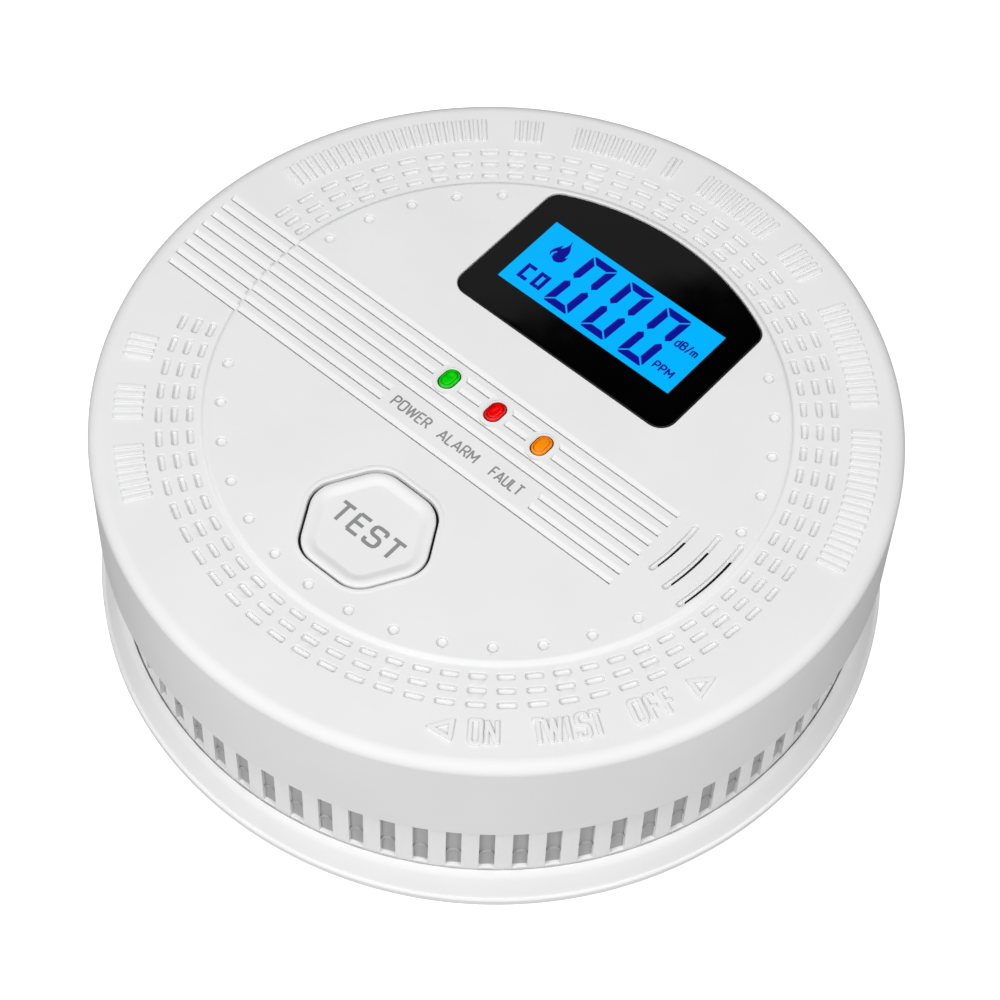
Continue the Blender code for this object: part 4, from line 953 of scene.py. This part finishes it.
def build_bracket():
    """A flat dish with a thin lip, a sloped flange and a groove in its back, then hooks and slots."""
    radius, edge = BRACKET_HIGH.x, 1.2 * MM
    lip, lip_top, floor = 48.42 * MM, 4.7 * MM, 3.5 * MM
    bracket = lathe("mounting_bracket_ring", [
        (lip - 0.35 * MM, floor),
        (lip, floor + 0.25 * MM),
        (lip + 0.02 * MM, lip_top - 0.12 * MM),
        (lip + 0.12 * MM, lip_top),
        (lip + 0.45 * MM, lip_top - 0.10 * MM),
        (lip + 1.20 * MM, lip_top - 0.75 * MM),
        (radius - 0.50 * MM, edge + 0.40 * MM),
        (radius - 0.40 * MM, edge + 0.16 * MM),
        (radius - 0.12 * MM, edge + 0.12 * MM),
        (radius, edge - 0.04 * MM),
        (radius, 0.3 * MM),
        (radius - 0.09 * MM, 0.09 * MM),
        (radius - 0.3 * MM, 0.0),
        (47.2 * MM, 0.0),
        (47.0 * MM, 0.15 * MM),
        (47.0 * MM, 0.35 * MM),
        (46.0 * MM, 0.35 * MM),
        (46.0 * MM, 0.15 * MM),
        (45.8 * MM, 0.0),
    ])
    boolean(bracket, hooks("stems", 36.4 * MM, 1.75 * MM, 5.9 * MM, 8.0), "UNION")
    boolean(bracket, hooks("hooks", 38.6 * MM, 5.4 * MM, 6.4 * MM, 8.05), "UNION")
    slots = []
    for angle in (0.0, 180.0):
        start, end = angle - 8.0, angle + 8.0
        slot = arc(30.95 * MM, start, end, 10) + arc(27.05 * MM, end, start, 10)
        slots.append(plate("slot", slot, -1.0 * MM, 5.0 * MM))
    boolean(bracket, joined(slots, "slots"))
    boolean(bracket, back_recesses())
    soft_shading(bracket, 35.0, weighted=True)
    finish(bracket, bracket_white, "bracket", ["mounting_bracket"])


def back_recesses():
    """Shallow hollows in the bracket's back that leave ribs between them."""
    deep = 1.2 * MM
    made = [plate("hub_hollow", arc(20.0 * MM, 0.0, 360.0, 60)[:-1], -1.0 * MM, deep)]
    for i in range(12):
        start, end = 30.0 * i + 1.2, 30.0 * i + 28.8
        outline = arc(44.3 * MM, start, end, 16) + arc(35.5 * MM, end - 0.3, start + 0.3, 16)
        made.append(plate("hollow", outline, -1.0 * MM, deep))
    return joined(made, "hollows")


def build_vent_screen():
    """The screen behind the vents: a stepped ring with a small arch in each opening, its grey painted
    shade inside the openings.
    """
    low, high, inner_wall = 4.9 * MM, SKIRT_Z + 1.8 * MM, 46.4 * MM
    ring = lathe("vent_screen", [
        (inner_wall, low), (47.75 * MM, low), (47.75 * MM, SKIRT_Z - 0.4 * MM),
        (46.8 * MM, SKIRT_Z - 0.3 * MM), (46.8 * MM, high), (inner_wall, high),
    ], 150, closed=True)
    outer, inner = arc(0.98 * MM, 0.0, 180.0, 10), arc(0.78 * MM, 180.0, 0.0, 10)
    arch = pen("arch", [(47.65 * MM, y, low + 2.7 * MM + z) for y, z in outer + inner])
    close_line(arch, len(outer + inner))
    bpy.ops.mesh.edge_face_add()
    bpy.ops.mesh.extrude_region_move(TRANSFORM_OT_translate={"value": (0.35 * MM, 0.0, 0.0)})
    outward()
    angles = [FIRST_VENT + 360.0 / VENT_COUNT * i for i in range(VENT_COUNT)]
    arches = copies_round(arch, angles, "arches")
    screen = joined([ring, arches], "vent_screen")
    soft_shading(screen, 35.0)
    finish(screen, vent_shade_grey, "detector")


# Nodes that keep their solids and get a finish

def paint_solids():
    # The rear housing's lighter white is painted light on its vent ribs.
    finishes = {
        "rear_housing": housing_white_lightened, "battery_door": housing_white_lightened,
        "lcd_backlight": milky, "lcd_frame": milky, "co_sensor_cap": milky,
        "led_chip_green": milky, "led_chip_red": milky, "led_chip_amber": milky,
        "lcd_header": black_plastic, "tact_switch_body": black_plastic,
        "tact_switch_plunger": black_plastic,
        "microcontroller": black_plastic, "sensor_amplifier": black_plastic, "boost_coil": black_plastic,
        "sounder_case": black_plastic, "sounder_base": black_plastic,
        "main_board": mask_green, "capacitor": nickel, "co_sensor_can": steel, "piezo_disc": brass,
    }
    for name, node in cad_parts.items():
        if name.startswith("battery_") and name != "battery_door":
            material = jacket_dark
        elif name.startswith("contact_"):
            material = nickel
        elif "_screw_" in name:
            material = zinc
        else:
            material = finishes.get(name, cover_white)
        node.data.materials.clear()
        node.data.materials.append(material)


# Studio

FRONT = Matrix.Rotation(math.radians(FRONT_TURN), 3, "Z") @ Vector((0.0, -1.0, 0.0))
LEFT = Matrix.Rotation(math.radians(FRONT_TURN), 3, "Z") @ Vector((-1.0, 0.0, 0.0))
UP = Vector((0.0, 0.0, 1.0))


def build_camera():
    """The camera looks down at the face with a slight roll. The result is where it stands."""
    turn, elevation, roll = (math.radians(angle) for angle in (38.894, 56.080, 2.527))
    aim, distance = Vector((0.00896, -0.00992, 0.0330)), 0.36539
    right = Vector((1.0, 0.0, 0.0))
    up = Vector((0.0, math.sin(elevation), math.cos(elevation)))
    back = Vector((0.0, -math.cos(elevation), math.sin(elevation)))
    right_rolled = math.cos(roll) * right + math.sin(roll) * up
    up_rolled = -math.sin(roll) * right + math.cos(roll) * up
    round_z = Matrix.Rotation(turn, 3, "Z")
    axes = [round_z @ axis for axis in (right_rolled, up_rolled, back)]
    eye = aim + axes[2] * distance
    lens = bpy.data.cameras.new("camera")
    lens.lens = 109.47
    lens.sensor_width = 36.0
    camera = bpy.data.objects.new("camera", lens)
    camera.matrix_world = Matrix.Translation(eye) @ Matrix(axes).transposed().to_4x4()
    bpy.context.scene.collection.objects.link(camera)
    bpy.context.scene.camera = camera
    return eye


def build_floor():
    nothing_selected()
    bpy.ops.mesh.primitive_plane_add(size=6.0, location=(0.0, 0.0, -0.02 * MM))
    floor = bpy.context.object
    floor.name = floor.data.name = "floor"
    material, shader = new_material("pale_floor", (0.6, 0.6, 0.6), 0.9, specular=0.0)
    shader.inputs["Emission Color"].default_value = (1.0, 1.0, 1.0, 1.0)
    shader.inputs["Emission Strength"].default_value = 0.8
    floor.data.materials.append(material)
    floor.visible_diffuse = floor.visible_glossy = False


def build_sky():
    """Even light on matt surfaces. Glossy ones see a bright side in front and a dark one behind."""
    world = bpy.data.worlds.new("studio")
    bpy.context.scene.world = world
    world.use_nodes = True
    nodes, links = world.node_tree.nodes, world.node_tree.links
    background = nodes["Background"]
    background.inputs["Color"].default_value = (1.0, 1.0, 1.0, 1.0)
    path = nodes.new("ShaderNodeLightPath")
    where = nodes.new("ShaderNodeTexCoord")
    toward = nodes.new("ShaderNodeVectorMath")
    toward.operation = "DOT_PRODUCT"
    toward.inputs[1].default_value = FRONT
    softbox = nodes.new("ShaderNodeMapRange")
    for socket, value in (("From Min", -0.35), ("From Max", 0.10), ("To Min", 0.004), ("To Max", 1.1)):
        softbox.inputs[socket].default_value = value
    strength = nodes.new("ShaderNodeMix")
    strength.inputs["A"].default_value = 0.42
    links.new(where.outputs["Generated"], toward.inputs[0])
    links.new(toward.outputs["Value"], softbox.inputs["Value"])
    links.new(softbox.outputs["Result"], strength.inputs["B"])
    links.new(path.outputs["Is Glossy Ray"], strength.inputs["Factor"])
    links.new(strength.outputs["Result"], background.inputs["Strength"])


def build_card(eye):
    """A dim card overhead, seen only as the pale slanting gleam in the left of the lens."""
    height = 0.8
    mirror = Vector((eye.x, eye.y, 2 * LENS_HIGH.z - eye.z))
    corners = []
    for x, y in ((6.6, 34.5), (-8.0, 11.0), (-14.2, 1.0), (-60.0, 1.0), (-60.0, 60.0), (22.4, 60.0)):
        way = Vector((x * MM, y * MM, LENS_HIGH.z)) - mirror
        spot = mirror + way * (height - mirror.z) / way.z
        corners.append((spot.x, spot.y))
    sheet_of("gleam_card", corners, height)
    bpy.ops.object.mode_set(mode="OBJECT")
    card = bpy.context.object
    material, shader = new_material("dim_card", (0.0, 0.0, 0.0), 1.0, specular=0.0)
    shader.inputs["Emission Color"].default_value = (1.0, 1.0, 1.0, 1.0)
    shader.inputs["Emission Strength"].default_value = 0.30
    card.data.materials.append(material)
    card.visible_camera = card.visible_diffuse = card.visible_shadow = card.visible_transmission = False


def build_lamps():
    """Two soft lamps above the front, the left one the stronger."""
    for name, side, power in (("key_left", 0.41, 4.8), ("key_right", -0.41, 3.4)):
        lamp = bpy.data.lights.new(name, "AREA")
        lamp.energy = power
        lamp.size = 0.3
        item = bpy.data.objects.new(name, lamp)
        item.location = FRONT * 0.49 + LEFT * side + UP * 0.77
        item.rotation_euler = (-item.location).to_track_quat("-Z", "Y").to_euler()
        item.visible_glossy = False
        bpy.context.scene.collection.objects.link(item)


def build_studio():
    eye = build_camera()
    build_floor()
    build_sky()
    build_card(eye)
    build_lamps()
    bpy.context.scene.view_settings.view_transform = "Standard"


build_studio()
paint_solids()
build_cover()
build_rim_marks()
build_lens()
build_lcd()
build_button()
build_labels()
build_lights()
build_bracket()
build_vent_screen()
build_slit_shade_strips()
